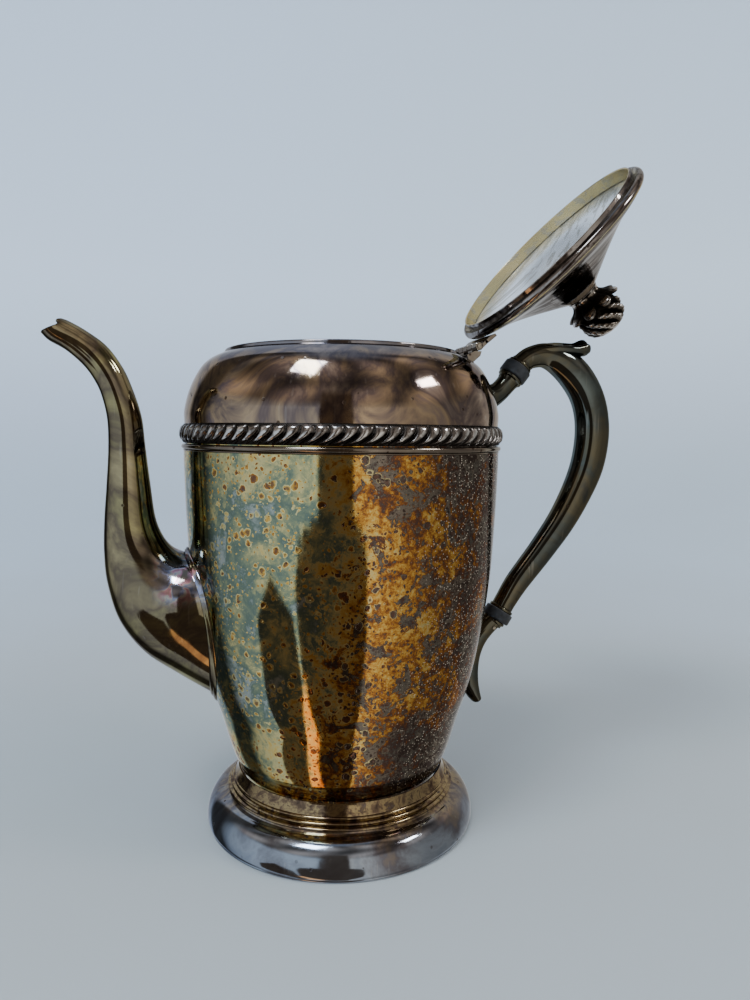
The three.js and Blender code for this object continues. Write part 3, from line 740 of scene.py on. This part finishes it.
def hinge_lid_leaf(material):
    half = HINGE_WIDTH / 2
    plate = [[46.2, 199.9], [46.4, 201.1], [51.4, 200.3], [52.0, 199.6], [51.6, 198.9],
             [48.6, 199.0]]
    shells = [slab(plate, -half, half)]
    for barrel, start, stop in knuckle_barrels(0):
        tab = [[50.8, 198.9], [50.9, 200.3], [HINGE_X - 0.5, HINGE_Z + 1.65],
               [HINGE_X - 1.2, HINGE_Z + 0.2]]
        shells += [barrel, slab(tab, start, stop)]
    settle(solid("hinge_leaf_lid", shells), "lid", "plated_lid", material, "hinge_lid_leaf")


# ---- materials ----


class Nodes:
    """A material and short ways to add the nodes used here."""

    def __init__(self, name):
        self.material = bpy.data.materials.new(name)
        self.material.use_nodes = True
        self.tree = self.material.node_tree
        self.shader = self.tree.nodes["Principled BSDF"]
        self.place = self.add("ShaderNodeTexCoord").outputs["Object"]

    def add(self, kind, feeds=None, **settings):
        """Adds a node, with its settings and with what its sockets are fed."""
        node = self.tree.nodes.new(kind)
        for key, value in settings.items():
            setattr(node, key, value)
        for key, value in (feeds or {}).items():
            self.feed(node.inputs[key], value)
        return node

    def feed(self, socket, value):
        """Links a socket, or sets its own value."""
        if isinstance(value, bpy.types.NodeSocket):
            self.tree.links.new(value, socket)
        elif isinstance(value, tuple) and len(value) == 3 and socket.type == "RGBA":
            socket.default_value = (*value, 1)
        else:
            socket.default_value = value

    def math(self, operation, a, b=0.0, clamp=False):
        node = self.add("ShaderNodeMath", {0: a, 1: b}, operation=operation, use_clamp=clamp)
        return node.outputs[0]

    def plus(self, a, b, clamp=False):
        return self.math("ADD", a, b, clamp)

    def times(self, a, b):
        return self.math("MULTIPLY", a, b)

    def moved(self, stretch=(1, 1, 1), shift=(0, 0, 0), turn=(0, 0, 0), place=None):
        feeds = {"Vector": place or self.place, "Scale": stretch, "Location": shift,
                 "Rotation": turn}
        return self.add("ShaderNodeMapping", feeds).outputs[0]

    def noise(self, scale, detail=4.0, rough=0.55, place=None, twist=0.0):
        feeds = {"Vector": place or self.place, "Scale": scale, "Detail": detail,
                 "Roughness": rough, "Distortion": twist}
        return self.add("ShaderNodeTexNoise", feeds).outputs[0]

    def cells(self, scale, place=None):
        """Distance to the nearest of scattered points, in cells, and two random numbers for it."""
        node = self.add("ShaderNodeTexVoronoi", {"Vector": place or self.place, "Scale": scale})
        parts = self.add("ShaderNodeSeparateColor", {0: node.outputs["Color"]})
        return node.outputs["Distance"], parts.outputs[0], parts.outputs[1]

    def band(self, value, low, high, to_low=0.0, to_high=1.0, smooth=True):
        """Value from low to high, brought to the range from to_low to to_high and held there."""
        feeds = {"Value": value, "From Min": low, "From Max": high, "To Min": to_low,
                 "To Max": to_high}
        shape = "SMOOTHSTEP" if smooth else "LINEAR"
        return self.add("ShaderNodeMapRange", feeds, interpolation_type=shape).outputs[0]

    def mix(self, factor, a, b, blend="MIX"):
        feeds = {0: factor, 6: a, 7: b}
        return self.add("ShaderNodeMix", feeds, data_type="RGBA", blend_type=blend).outputs[2]

    def ramp(self, factor, stops):
        node = self.add("ShaderNodeValToRGB", {0: factor})
        elements = node.color_ramp.elements
        while len(elements) < len(stops):
            elements.new(0.5)
        for element, (position, colour) in zip(elements, stops):
            element.position = position
            element.color = (*colour, 1)
        return node.outputs[0]

    def value(self, name):
        """A number kept on each vertex by mark()."""
        return self.add("ShaderNodeAttribute", attribute_name=name).outputs["Fac"]

    def along(self, axis):
        """How far along X, Y or Z each place is, in metres."""
        return self.add("ShaderNodeSeparateXYZ", {0: self.place}).outputs[axis]

    def bump(self, height, distance, strength=1.0, normal=None):
        node = self.add("ShaderNodeBump",
                        {"Strength": strength, "Distance": distance, "Height": height})
        if normal:
            self.feed(node.inputs["Normal"], normal)
        return node.outputs[0]

    def finish(self, colour, roughness, normal=None, metallic=1.0, edge=0.5):
        """Feeds the shader; edge is how far the metal keeps its colour where it is seen aslant."""
        feeds = {"Base Color": colour, "Specular Tint": self.mix(edge, (1.0, 1.0, 1.0), colour),
                 "Roughness": roughness, "Metallic": metallic}
        if normal:
            feeds["Normal"] = normal
        for key, value in feeds.items():
            self.feed(self.shader.inputs[key], value)
        return self.material


def torn_place(nodes, scale, distance):
    """The place on the surface, shifted about a little so that round marks turn ragged."""
    drift = nodes.add("ShaderNodeTexNoise", {"Vector": nodes.place, "Scale": scale})
    feeds = {0: drift.outputs["Color"], "Scale": distance}
    little = nodes.add("ShaderNodeVectorMath", feeds, operation="SCALE")
    feeds = {0: nodes.place, 1: little.outputs[0]}
    return nodes.add("ShaderNodeVectorMath", feeds, operation="ADD").outputs[0]


def spots(nodes, scale, amount, sizes, place):
    """How deep inside a scattered spot each place is: 1 at its heart, 0 at its rim and outside."""
    distance, lottery, spread = nodes.cells(scale, place)
    chosen = nodes.math("LESS_THAN", lottery, amount)
    radius = nodes.band(spread, 0, 1, *sizes, smooth=False)
    near = nodes.math("DIVIDE", distance, radius)
    return nodes.times(nodes.band(near, 1.0, 0.0, smooth=False), chosen)


def fine_pits(nodes, scale, amount, place):
    """A scatter of tiny round pits, 1 in each pit and 0 between them."""
    distance, lottery, _ = nodes.cells(scale, place)
    chosen = nodes.band(lottery, amount - 0.03, amount, 1, 0)
    return nodes.times(nodes.band(distance, 0.34, 0.2), chosen)


def hair_scratches(nodes, turn):
    """Faint long scratches from wiping, 1 on a scratch and 0 between them."""
    across, along = 630, 31.5  # how many a metre
    place = nodes.moved(stretch=(across, across, along), turn=turn)
    return nodes.band(nodes.noise(1.0, 1.0, 0.4, place), 0.70, 0.78)


BODY_TARNISH = [
    (0.00, (0.44, 0.45, 0.42)), (0.08, (0.30, 0.35, 0.33)), (0.14, (0.12, 0.17, 0.145)),
    (0.20, (0.19, 0.24, 0.17)), (0.25, (0.36, 0.36, 0.19)), (0.30, (0.56, 0.50, 0.24)),
    (0.36, (0.62, 0.44, 0.13)), (0.43, (0.54, 0.29, 0.055)), (0.50, (0.30, 0.12, 0.03)),
    (0.57, (0.13, 0.06, 0.035)), (0.64, (0.07, 0.05, 0.05)), (0.72, (0.12, 0.115, 0.10)),
    (0.82, (0.20, 0.17, 0.14)), (0.92, (0.06, 0.045, 0.04)),
]


def body_spots(nodes):
    """Big and little ragged spots, crowded in some places: how deep inside one each place is."""
    place = torn_place(nodes, 420, 0.0022)
    crowd = nodes.band(nodes.noise(38, 3, 0.6, nodes.moved(shift=(7, 2, 4))), 0.40, 0.58, 0.30, 1.0)
    deep = spots(nodes, 270, crowd, (0.18, 0.52), place)
    return deep, spots(nodes, 620, crowd, (0.18, 0.46), nodes.moved(shift=(4, 1, 7), place=place))


def body_age(nodes, side, deep, small):
    """How thick the tarnish is: thin at the spout, thick at the handle and thicker in the spots."""
    mature = nodes.band(side, -0.036, -0.004, 0.22, 1.0)
    ends = nodes.math("MAXIMUM", nodes.band(nodes.along("Z"), 0.130, 0.156),
                      nodes.band(nodes.along("Z"), 0.066, 0.036, 0.0, 1.8))
    grain = nodes.band(nodes.noise(420, 9, 0.80, twist=0.3), 0.30, 0.70, -0.19, 0.19, smooth=False)
    broad = nodes.band(nodes.noise(62, 6, 0.62, twist=0.6), 0.3, 0.7, -0.15, 0.15, smooth=False)
    soft = nodes.noise(105, 7, 0.72, nodes.moved(shift=(2, 5, 1)), twist=0.6)
    age = nodes.band(side, -0.050, -0.018, 0.13, 0.22, smooth=False)
    for more in (nodes.band(side, -0.024, 0.000, 0.0, 0.24),
                 nodes.band(side, 0.010, 0.044, 0.0, 0.14),
                 nodes.times(ends, 0.08),
                 nodes.times(grain, mature),
                 broad,
                 nodes.times(nodes.band(soft, 0.53, 0.56, 0.0, 0.26), mature),
                 nodes.band(deep, 0.12, 0.26, 0.0, 0.20),
                 nodes.band(small, 0.0, 0.4, 0.0, 0.22)):
        age = nodes.plus(age, more)
    return age


def body_material():
    """Tarnish whose colour runs through one scale of thicknesses, from teal to purple-brown."""
    nodes = Nodes("tarnished_body")
    wander = nodes.band(nodes.noise(26, 4, 0.6), 0.25, 0.75, -0.018, 0.018, smooth=False)
    side = nodes.plus(nodes.math("SUBTRACT", nodes.along("X"), AXIS_X), wander)
    deep, small = body_spots(nodes)
    age = body_age(nodes, side, deep, small)
    colour = nodes.ramp(age, BODY_TARNISH)
    rim = nodes.times(nodes.band(deep, 0.0, 0.08), nodes.band(deep, 0.22, 0.13))
    pale = nodes.band(side, -0.012, 0.010, 0.80, 0.0)
    colour = nodes.mix(nodes.times(rim, pale), colour, (0.74, 0.66, 0.32))
    heart = nodes.band(deep, 0.34, 0.62)
    colour = nodes.mix(nodes.times(heart, 0.8), colour, (0.12, 0.07, 0.055))
    pitted = nodes.band(side, 0.006, 0.034, 0.06, 1.0)
    dark = nodes.times(fine_pits(nodes, 1000, 0.75, nodes.place), pitted)
    speck = nodes.times(fine_pits(nodes, 1150, 0.46, nodes.moved(shift=(9, 9, 9))), pitted)
    colour = nodes.mix(nodes.times(dark, 0.75), colour, (0.035, 0.025, 0.02))
    colour = nodes.mix(nodes.times(speck, 0.9), colour, (0.92, 0.86, 0.76))
    pits = nodes.math("MAXIMUM", dark, speck)
    rough = nodes.band(nodes.noise(160, 3, 0.6), 0.3, 0.75, 0.035, 0.10)
    rough = nodes.plus(rough, nodes.times(pits, 0.2), clamp=True)
    rough = nodes.plus(rough, nodes.band(age, 0.50, 0.80, 0.0, 0.06), clamp=True)
    waves = nodes.bump(nodes.noise(26, 2, 0.4), 0.00045, 0.4)
    sunk = nodes.times(nodes.math("MAXIMUM", heart, pits), -1.0)
    return nodes.finish(colour, rough, nodes.bump(sunk, 0.00007, 0.4, waves))


def mirror_tarnish(name, stops, patch, pit_amount, rough=(0.06, 0.16)):
    """Polished plate under an even tarnish: patches of colour, pits, wiping scratches."""
    nodes = Nodes(name)
    patches = nodes.noise(patch, 5, 0.6, twist=0.8)
    cloud = nodes.noise(patch * 0.35, 3, 0.5, nodes.moved(shift=(5, 3, 1)))
    age = nodes.plus(nodes.times(patches, 0.6), nodes.times(cloud, 0.4))
    colour = nodes.ramp(age, stops)
    pits = fine_pits(nodes, 430, pit_amount, nodes.place)
    colour = nodes.mix(nodes.times(pits, 0.85), colour, (0.06, 0.04, 0.03))
    lines = nodes.math("MAXIMUM", hair_scratches(nodes, (0.3, 0.9, 0.2)),
                       hair_scratches(nodes, (1.2, 0.1, 0.7)))
    colour = nodes.mix(nodes.times(lines, 0.10), colour, (0.62, 0.60, 0.56))
    base = nodes.band(nodes.noise(140, 4, 0.6), 0.3, 0.75, *rough)
    marks = nodes.plus(nodes.times(pits, 0.25), nodes.times(lines, 0.05))
    roughness = nodes.plus(base, marks, clamp=True)
    waves = nodes.bump(nodes.noise(30, 2, 0.4), 0.0004, 0.45)
    relief = nodes.times(nodes.plus(pits, nodes.times(lines, 0.2)), -1.0)
    return nodes, colour, roughness, nodes.bump(relief, 0.00006, 0.35, waves)


def plain_tarnish(*settings):
    """A material that is even tarnish and nothing more."""
    nodes, colour, rough, normal = mirror_tarnish(*settings)
    return nodes.finish(colour, rough, normal)


def dome_material():
    stops = [(0.30, (0.58, 0.54, 0.50)), (0.40, (0.36, 0.29, 0.24)), (0.47, (0.14, 0.11, 0.11)),
             (0.54, (0.40, 0.30, 0.20)), (0.61, (0.19, 0.155, 0.18)), (0.72, (0.48, 0.45, 0.44))]
    nodes, colour, rough, normal = mirror_tarnish("tarnished_dome", stops, 46, 0.08, (0.04, 0.12))
    # Painted reflection: the dome is tinted bluish grey towards its top, where it mirrors the pale
    # surroundings.
    top = nodes.band(nodes.along("Z"), 0.184, 0.194)
    colour = nodes.mix(nodes.times(top, 0.5), colour, (0.26, 0.29, 0.36))
    return nodes.finish(colour, rough, normal)


def foot_material():
    stops = [(0.32, (0.16, 0.20, 0.28)), (0.44, (0.30, 0.35, 0.43)), (0.54, (0.15, 0.15, 0.18)),
             (0.62, (0.26, 0.22, 0.18)), (0.74, (0.42, 0.44, 0.48))]
    nodes, colour, rough, normal = mirror_tarnish("tarnished_foot", stops, 34, 0.05)
    brown = nodes.ramp(nodes.noise(150, 8, 0.75, twist=0.5), [
        (0.36, (0.07, 0.05, 0.04)), (0.46, (0.17, 0.12, 0.08)), (0.54, (0.36, 0.28, 0.15)),
        (0.60, (0.10, 0.07, 0.055)), (0.72, (0.20, 0.18, 0.17))])
    wander = nodes.times(nodes.noise(60, 3, 0.5), 0.006)
    upper = nodes.band(nodes.plus(nodes.along("Z"), wander), 0.0135, 0.0195)
    return nodes.finish(nodes.mix(upper, colour, brown), rough, normal)


def spout_material():
    """Olive and brass-coloured tarnish, with a blue and pink sheen in the crook at the root."""
    stops = [(0.30, (0.40, 0.40, 0.30)), (0.42, (0.30, 0.28, 0.15)), (0.52, (0.13, 0.11, 0.085)),
             (0.62, (0.34, 0.30, 0.18)), (0.74, (0.20, 0.22, 0.24))]
    nodes, colour, rough, normal = mirror_tarnish("tarnished_spout", stops, 40, 0.03, (0.04, 0.12))
    crook = nodes.times(nodes.band(nodes.along("X"), -0.084, -0.074),
                        nodes.band(nodes.along("Z"), 0.118, 0.110))
    crook = nodes.times(crook, nodes.band(nodes.along("Z"), 0.095, 0.104))
    sheen = nodes.ramp(nodes.noise(150, 3, 0.5, nodes.moved(shift=(3, 3, 8)), twist=1.0), [
        (0.38, (0.20, 0.22, 0.30)), (0.46, (0.35, 0.45, 0.85)), (0.52, (0.80, 0.80, 0.80)),
        (0.58, (0.85, 0.42, 0.62)), (0.66, (0.22, 0.20, 0.18))])
    colour = nodes.mix(nodes.times(crook, 0.65), colour, sheen)
    return nodes.finish(colour, rough, normal)


def handle_material():
    stops = [(0.30, (0.13, 0.16, 0.16)), (0.44, (0.075, 0.085, 0.08)), (0.54, (0.12, 0.11, 0.075)),
             (0.64, (0.045, 0.055, 0.065)), (0.76, (0.12, 0.155, 0.20))]
    return plain_tarnish("tarnished_handle", stops, 44, 0.03, (0.04, 0.12))


def lid_material():
    """Bright plate with dark wiped streaks outside, and cream inside with a gilt edge."""
    stops = [(0.30, (0.60, 0.61, 0.64)), (0.46, (0.40, 0.40, 0.41)), (0.56, (0.22, 0.20, 0.19)),
             (0.66, (0.38, 0.36, 0.35)), (0.78, (0.62, 0.62, 0.63))]
    nodes, colour, rough, normal = mirror_tarnish("tarnished_lid", stops, 34, 0.10)
    long, thin = 1 / 9, 1 / 330
    wiped = nodes.moved(stretch=(long, thin, thin), turn=(0, math.pi / 2 - OPEN_ANGLE, 0))
    wiped.node.vector_type = "TEXTURE"  # turned before it is stretched
    streaks = nodes.noise(1.0, 5, 0.65, wiped)
    colour = nodes.mix(nodes.band(streaks, 0.48, 0.56, 0.0, 0.8), colour, (0.09, 0.075, 0.07))
    # Painted shade: brown where the finial's petals overhang the lid.
    collar = nodes.value("collar")
    colour = nodes.mix(collar, colour, (0.20, 0.135, 0.085))
    uneven = nodes.band(nodes.noise(60, 4, 0.6), 0.3, 0.7, -0.1, 0.1)
    gilt = nodes.plus(nodes.value("edge"), uneven)
    cream = nodes.mix(nodes.band(gilt, 0.15, 0.95), (0.84, 0.89, 0.94), (0.62, 0.51, 0.26))
    line = nodes.times(nodes.band(streaks, 0.50, 0.58), 0.6)
    cream = nodes.mix(line, cream, (0.42, 0.40, 0.34))
    inside = nodes.value("inside")
    colour = nodes.mix(inside, colour, cream)
    rough = nodes.mix(inside, rough, nodes.band(nodes.noise(90, 4, 0.6), 0.3, 0.7, 0.16, 0.24))
    # Less metallic inside, and under the finial's petals as part of the painted shade.
    metal = nodes.math("SUBTRACT", nodes.band(inside, 0, 1, 1.0, 0.75),
                       nodes.times(collar, 0.8), clamp=True)
    return nodes.finish(colour, rough, normal, metal, 0.6)


def cast_material(name, hollow, crest, tip):
    """Cast ornament: oxide left in the hollows, rubbed bright on the crests."""
    nodes = Nodes(name)
    relief = nodes.value("relief")
    wear = nodes.plus(relief, nodes.band(nodes.noise(300, 4, 0.6), 0.3, 0.7, -0.18, 0.18))
    colour = nodes.mix(nodes.band(wear, 0.15, 0.75), hollow, crest)
    colour = nodes.mix(nodes.band(wear, 0.82, 1.05), colour, tip)
    rough = nodes.band(wear, 0.1, 0.95, 0.42, 0.15)
    return nodes.finish(colour, rough, nodes.bump(nodes.noise(700, 3, 0.6), 0.00009, 0.5))


def wire_material():
    stops = [(0.30, (0.34, 0.32, 0.28)), (0.50, (0.20, 0.17, 0.14)), (0.72, (0.12, 0.10, 0.09))]
    return plain_tarnish("tarnished_wire", stops, 60, 0.2)


def insulator_material():
    nodes = Nodes("moulded_insulator")
    mottle = nodes.noise(260, 5, 0.6)
    colour = nodes.ramp(mottle, [(0.3, (0.012, 0.012, 0.013)), (0.7, (0.045, 0.045, 0.046))])
    worn = nodes.band(nodes.noise(60, 5, 0.7), 0.58, 0.70)
    colour = nodes.mix(nodes.times(worn, 0.35), colour, (0.11, 0.105, 0.10))
    rough = nodes.band(mottle, 0.3, 0.7, 0.42, 0.62)
    return nodes.finish(colour, rough, nodes.bump(nodes.noise(1400, 3, 0.6), 0.00006, 0.5), 0.0)


def pin_material():
    nodes = Nodes("drawn_rod")
    lines = nodes.noise(40, 3, 0.5, nodes.moved(stretch=(30, 1, 30)))
    colour = nodes.ramp(lines, [(0.3, (0.22, 0.20, 0.17)), (0.7, (0.52, 0.48, 0.40))])
    rough = nodes.band(lines, 0.3, 0.7, 0.22, 0.40)
    return nodes.finish(colour, rough, nodes.bump(lines, 0.00005, 0.5))


# ---- the pot ----


def make_pot():
    body, dome, foot = body_material(), dome_material(), foot_material()
    wire, spouted, handled = wire_material(), spout_material(), handle_material()
    gadroon = cast_material("cast_border", (0.025, 0.022, 0.02), (0.17, 0.155, 0.145),
                            (0.60, 0.60, 0.60))
    black, pin = insulator_material(), pin_material()
    body_shell(body)
    shoulder_dome(dome)
    mouth_collar(dome)
    border_bead(wire)
    gadroon_border(gadroon)
    foot_ring(foot)
    foot_rim_wire(foot)
    spout(spouted)
    spout_flange(spouted)
    handle(handled)
    upper_socket(handled)
    lower_socket(handled)
    insulator("insulator_disc_upper", "upper_insulator", UPPER_JOINT, black)
    insulator("insulator_disc_lower", "lower_insulator", LOWER_JOINT, black)
    hinge_body_leaf(wire)
    for node in ("upper_socket_pin", "upper_handle_pin", "lower_socket_pin", "lower_handle_pin",
                 "hinge_pin"):
        cover(node, pin)


def make_lid():
    bright, pin = lid_material(), bpy.data.materials["drawn_rod"]
    oxide = cast_material("oxidised_finial", (0.012, 0.010, 0.008), (0.15, 0.13, 0.11),
                          (0.60, 0.58, 0.56))
    lid_shell(bright)
    lid_bezel(bright)
    finial(oxide)
    hinge_lid_leaf(bpy.data.materials["tarnished_wire"])
    for node in ("finial_stud", "finial_washer", "finial_nut"):
        cover(node, pin)


def cover(node, material):
    """Gives a CAD node that stays in view its material."""
    data = frame["nodes"][node].data
    data.materials.clear()
    data.materials.append(material)


# ---- floor, light and camera ----

# Painted shade and painted light: the floor is coloured darker near the pot and paler far off and
# up the wall, to even out how brightly the room is lit.
PAINTED_SHADE_NEAR_FLOOR = (0.28, 0.295, 0.29)
PAINTED_LIGHT_FAR_FLOOR = (0.42, 0.48, 0.54)
PAINTED_LIGHT_WALL = (0.76, 0.85, 0.96)
VIEW_CENTRE = Vector((AXIS_X, 0, 0.11))


def direction(azimuth, elevation):
    """A direction out from the pot; azimuth is in degrees to the right of its front."""
    a, e = math.radians(azimuth), math.radians(elevation)
    return Vector((math.sin(a) * math.cos(e), -math.cos(a) * math.cos(e), math.sin(e)))


def staged_mesh(name, vertices, faces, material):
    mesh = bpy.data.meshes.new(name)
    mesh.from_pydata([tuple(v) for v in vertices], [], faces)
    mesh.polygons.foreach_set("use_smooth", np.ones(len(mesh.polygons), bool))
    mesh.materials.append(material)
    piece = put_in_scene(name, mesh)
    return piece


def room():
    """A pale floor that curves up into a round wall, painted darker near the pot and paler far off
    and up the wall, and with painted warm light on the handle's side.
    """
    flat, radius, top, around = 0.7, 1.3, 1.9, 96
    outline = [(0.001, 0.0), (flat, 0.0)]
    for k in range(1, 25):
        angle = math.pi / 2 * k / 24
        outline.append((flat + radius * math.sin(angle), radius * (1 - math.cos(angle))))
    outline.append((flat + radius, top))
    vertices = []
    for r, z in outline:
        for k in range(around):
            angle = 2 * math.pi * k / around
            vertices.append((r * math.cos(angle), r * math.sin(angle), z))
    nodes = Nodes("pale_floor")
    level_place = nodes.moved(stretch=(1, 1, 0))
    reach = nodes.add("ShaderNodeVectorMath", {0: level_place}, operation="LENGTH")
    # Painted shade near the pot, painted light far off and up the wall.
    far = nodes.band(reach.outputs["Value"], 0.10, 0.85)
    tone = nodes.band(nodes.noise(3.0, 3, 0.5), 0.3, 0.7, -0.06, 0.06)
    colour = nodes.mix(nodes.plus(far, tone, clamp=True), PAINTED_SHADE_NEAR_FLOOR, PAINTED_LIGHT_FAR_FLOOR)
    colour = nodes.mix(nodes.band(nodes.along("Z"), -0.1, 0.6), colour, PAINTED_LIGHT_WALL)
    # Painted warm light: the handle's side of the room is tinted warm, as a warm lamp there would
    # light it.
    painted_warm_light = nodes.band(nodes.along("X"), -0.2, 1.2, 0.0, 0.5)
    colour = nodes.mix(painted_warm_light, colour, (1.0, 0.96, 0.86), "MULTIPLY")
    material = nodes.finish(colour, 0.8, metallic=0.0)
    piece = staged_mesh("pale_room", vertices, grid_faces(len(outline), around), material)
    piece.visible_glossy = False


def lamp(name, azimuth, elevation, distance, size, power, colour, seen):
    """A rectangular soft light aimed at the pot; seen says whether the metal mirrors it."""
    out = direction(azimuth, elevation)
    data = bpy.data.lights.new(name, "AREA")
    data.shape = "RECTANGLE"
    data.size, data.size_y = size
    data.energy = power
    data.color = colour
    light = put_in_scene(name, data)
    light.location = VIEW_CENTRE + out * distance
    light.rotation_mode = "QUATERNION"
    light.rotation_quaternion = (-out).to_track_quat("-Z", "Y")
    light.visible_camera = False
    light.visible_glossy = seen


# What the polished metal mirrors, right round the pot: azimuth and colour at eye level.
AROUND_THE_POT = [
    (-180, (0.74, 0.82, 0.95)), (-150, (0.66, 0.74, 0.86)), (-144, (0.06, 0.06, 0.06)),
    (-122, (0.05, 0.05, 0.05)), (-110, (0.50, 0.54, 0.58)), (-80, (0.72, 0.78, 0.84)),
    (-29, (0.84, 0.92, 0.96)), (-4, (0.90, 0.84, 0.74)), (14, (0.90, 0.84, 0.75)),
    (34, (0.58, 0.53, 0.46)), (60, (0.34, 0.32, 0.29)), (100, (0.34, 0.32, 0.29)),
    (118, (0.74, 0.72, 0.67)), (160, (0.66, 0.70, 0.74)), (180, (0.74, 0.82, 0.95)),
]
CEILING = (0.34, 0.29, 0.25)
SKYLIGHT = (0.34, 0.39, 0.48)
DARK_FIGURE = (0.105, 0.075, 0.052)
LOW_LAMP = (1.9, 1.0, 0.45)


def between(value, low, high, soft):
    """1 where a value lies between two limits, falling to 0 over a soft edge."""
    rise = np.clip((value - low) / soft + 0.5, 0, 1)
    return rise * np.clip((high - value) / soft + 0.5, 0, 1)


def figure(azimuth, elevation):
    """The dark shape of somebody standing in front, wider below the shoulders."""
    low = np.interp(elevation, [-60, -20, -13, -9, 30], [-43, -45, -42, -28, -27])
    high = np.interp(elevation, [-60, -30, -14, -9, 30], [4, 8, 6, -4, -5])
    standing = between(azimuth, low, high, 0.8) * between(elevation, -80, 34, 6)
    half = np.interp(elevation, [-70, -40, -26, -16], [20, 18, 15, 0])
    arm = between(azimuth, -63 - half, -63 + half, 0.8) * (elevation < -16) * (elevation > -72)
    return np.maximum(standing, arm)


def over(level, colour, amount):
    """A colour laid over others, by an amount for each direction."""
    amount = amount[..., None]
    return level * (1 - amount) + np.array(colour) * amount


def glow(azimuth, elevation):
    """The colour of the mirrored surroundings in each direction."""
    stops = np.array([azimuth_stop for azimuth_stop, _ in AROUND_THE_POT])
    colours = np.array([colour for _, colour in AROUND_THE_POT])
    level = np.stack([np.interp(azimuth, stops, colours[:, i]) for i in range(3)], -1)
    behind = np.clip((np.abs(azimuth) - 104) / 24, 0, 1)
    above = between(elevation, 22, 200, 8) * (1 - 0.9 * behind)
    beams = 1 + 0.55 * np.sin(np.radians(azimuth * 7 + 90 * np.sin(np.radians(elevation * 5))))
    beams = beams * (1 + 0.4 * np.cos(np.radians(elevation * 12)))
    level = over(level, np.array(CEILING) * beams[..., None], above)
    level = over(level, SKYLIGHT, between(elevation, 74, 200, 14))
    level = over(level, DARK_FIGURE, figure(azimuth, elevation))
    below = -38 - elevation
    lamp_shape = between(azimuth, -44 - below * 0.45, -42 + below * 0.2, 1.5)
    return over(level, LOW_LAMP, lamp_shape * (below > 0) * (elevation > -74))


def surroundings():
    """A round shell of soft light that only the polished metal mirrors."""
    distance, columns, rows = 2.0, 360, 120
    azimuths = np.linspace(-180, 180, columns + 1)
    elevations = np.linspace(-89.5, 89.5, rows + 1)
    grid_e, grid_a = np.meshgrid(elevations, azimuths, indexing="ij")
    vertices = [VIEW_CENTRE + direction(a, e) * distance
                for a, e in zip(grid_a.ravel(), grid_e.ravel())]
    width = columns + 1
    faces = [(i * width + k, i * width + k + 1, (i + 1) * width + k + 1, (i + 1) * width + k)
             for i in range(rows) for k in range(columns)]
    material = bpy.data.materials.new("surroundings")
    material.use_nodes = True
    shader = material.node_tree.nodes["Principled BSDF"]
    shader.inputs["Base Color"].default_value = (0, 0, 0, 1)
    shader.inputs["Emission Strength"].default_value = 1.0
    colour = material.node_tree.nodes.new("ShaderNodeAttribute")
    colour.attribute_name = "glow"
    material.node_tree.links.new(colour.outputs["Color"], shader.inputs["Emission Color"])
    piece = staged_mesh("surroundings", vertices, faces, material)
    attribute = piece.data.attributes.new("glow", "FLOAT_COLOR", "POINT")
    level = glow(grid_a, grid_e).reshape(-1, 3)
    flat = np.concatenate([level, np.ones((len(level), 1))], 1).astype(np.float32)
    attribute.data.foreach_set("color", flat.ravel())
    piece.visible_camera = False
    piece.visible_diffuse = False
    piece.visible_shadow = False


COOL, WARM, WHITE = (0.80, 0.90, 1.0), (1.0, 0.90, 0.76), (0.96, 0.98, 1.0)


def light():
    lamp("key", -48, 48, 1.5, (0.9, 0.7), 18, COOL, False)
    lamp("fill", 60, 30, 1.6, (1.2, 1.2), 9, WARM, False)
    lamp("window_left", -50, 60, 1.3, (0.34, 0.34), 8, COOL, True)
    lamp("window_right", 60, 40, 1.3, (0.30, 0.14), 4, WHITE, True)
    surroundings()
    world = bpy.data.worlds.new("pale_room_light")
    world.use_nodes = True
    background = world.node_tree.nodes["Background"]
    background.inputs["Color"].default_value = (0.80, 0.88, 1.0, 1)
    background.inputs["Strength"].default_value = 1.0
    bpy.context.scene.world = world


def camera():
    """Close in front, a little above and to the spout's side, as the pot is seen."""
    data = bpy.data.cameras.new("camera")
    data.lens = 26.64
    data.sensor_width = 36
    data.clip_start = 0.01
    eye = put_in_scene("camera", data)
    eye.location = (AXIS_X - 0.0624, -0.3028, 0.1615)
    gaze = Vector((0.2443, 0.9657, -0.0880))
    roll = Quaternion((0, 0, 1), math.radians(0.58))
    eye.rotation_mode = "QUATERNION"
    eye.rotation_quaternion = gaze.to_track_quat("-Z", "Y") @ roll
    bpy.context.scene.camera = eye


make_pot()
make_lid()
room()
light()
camera()
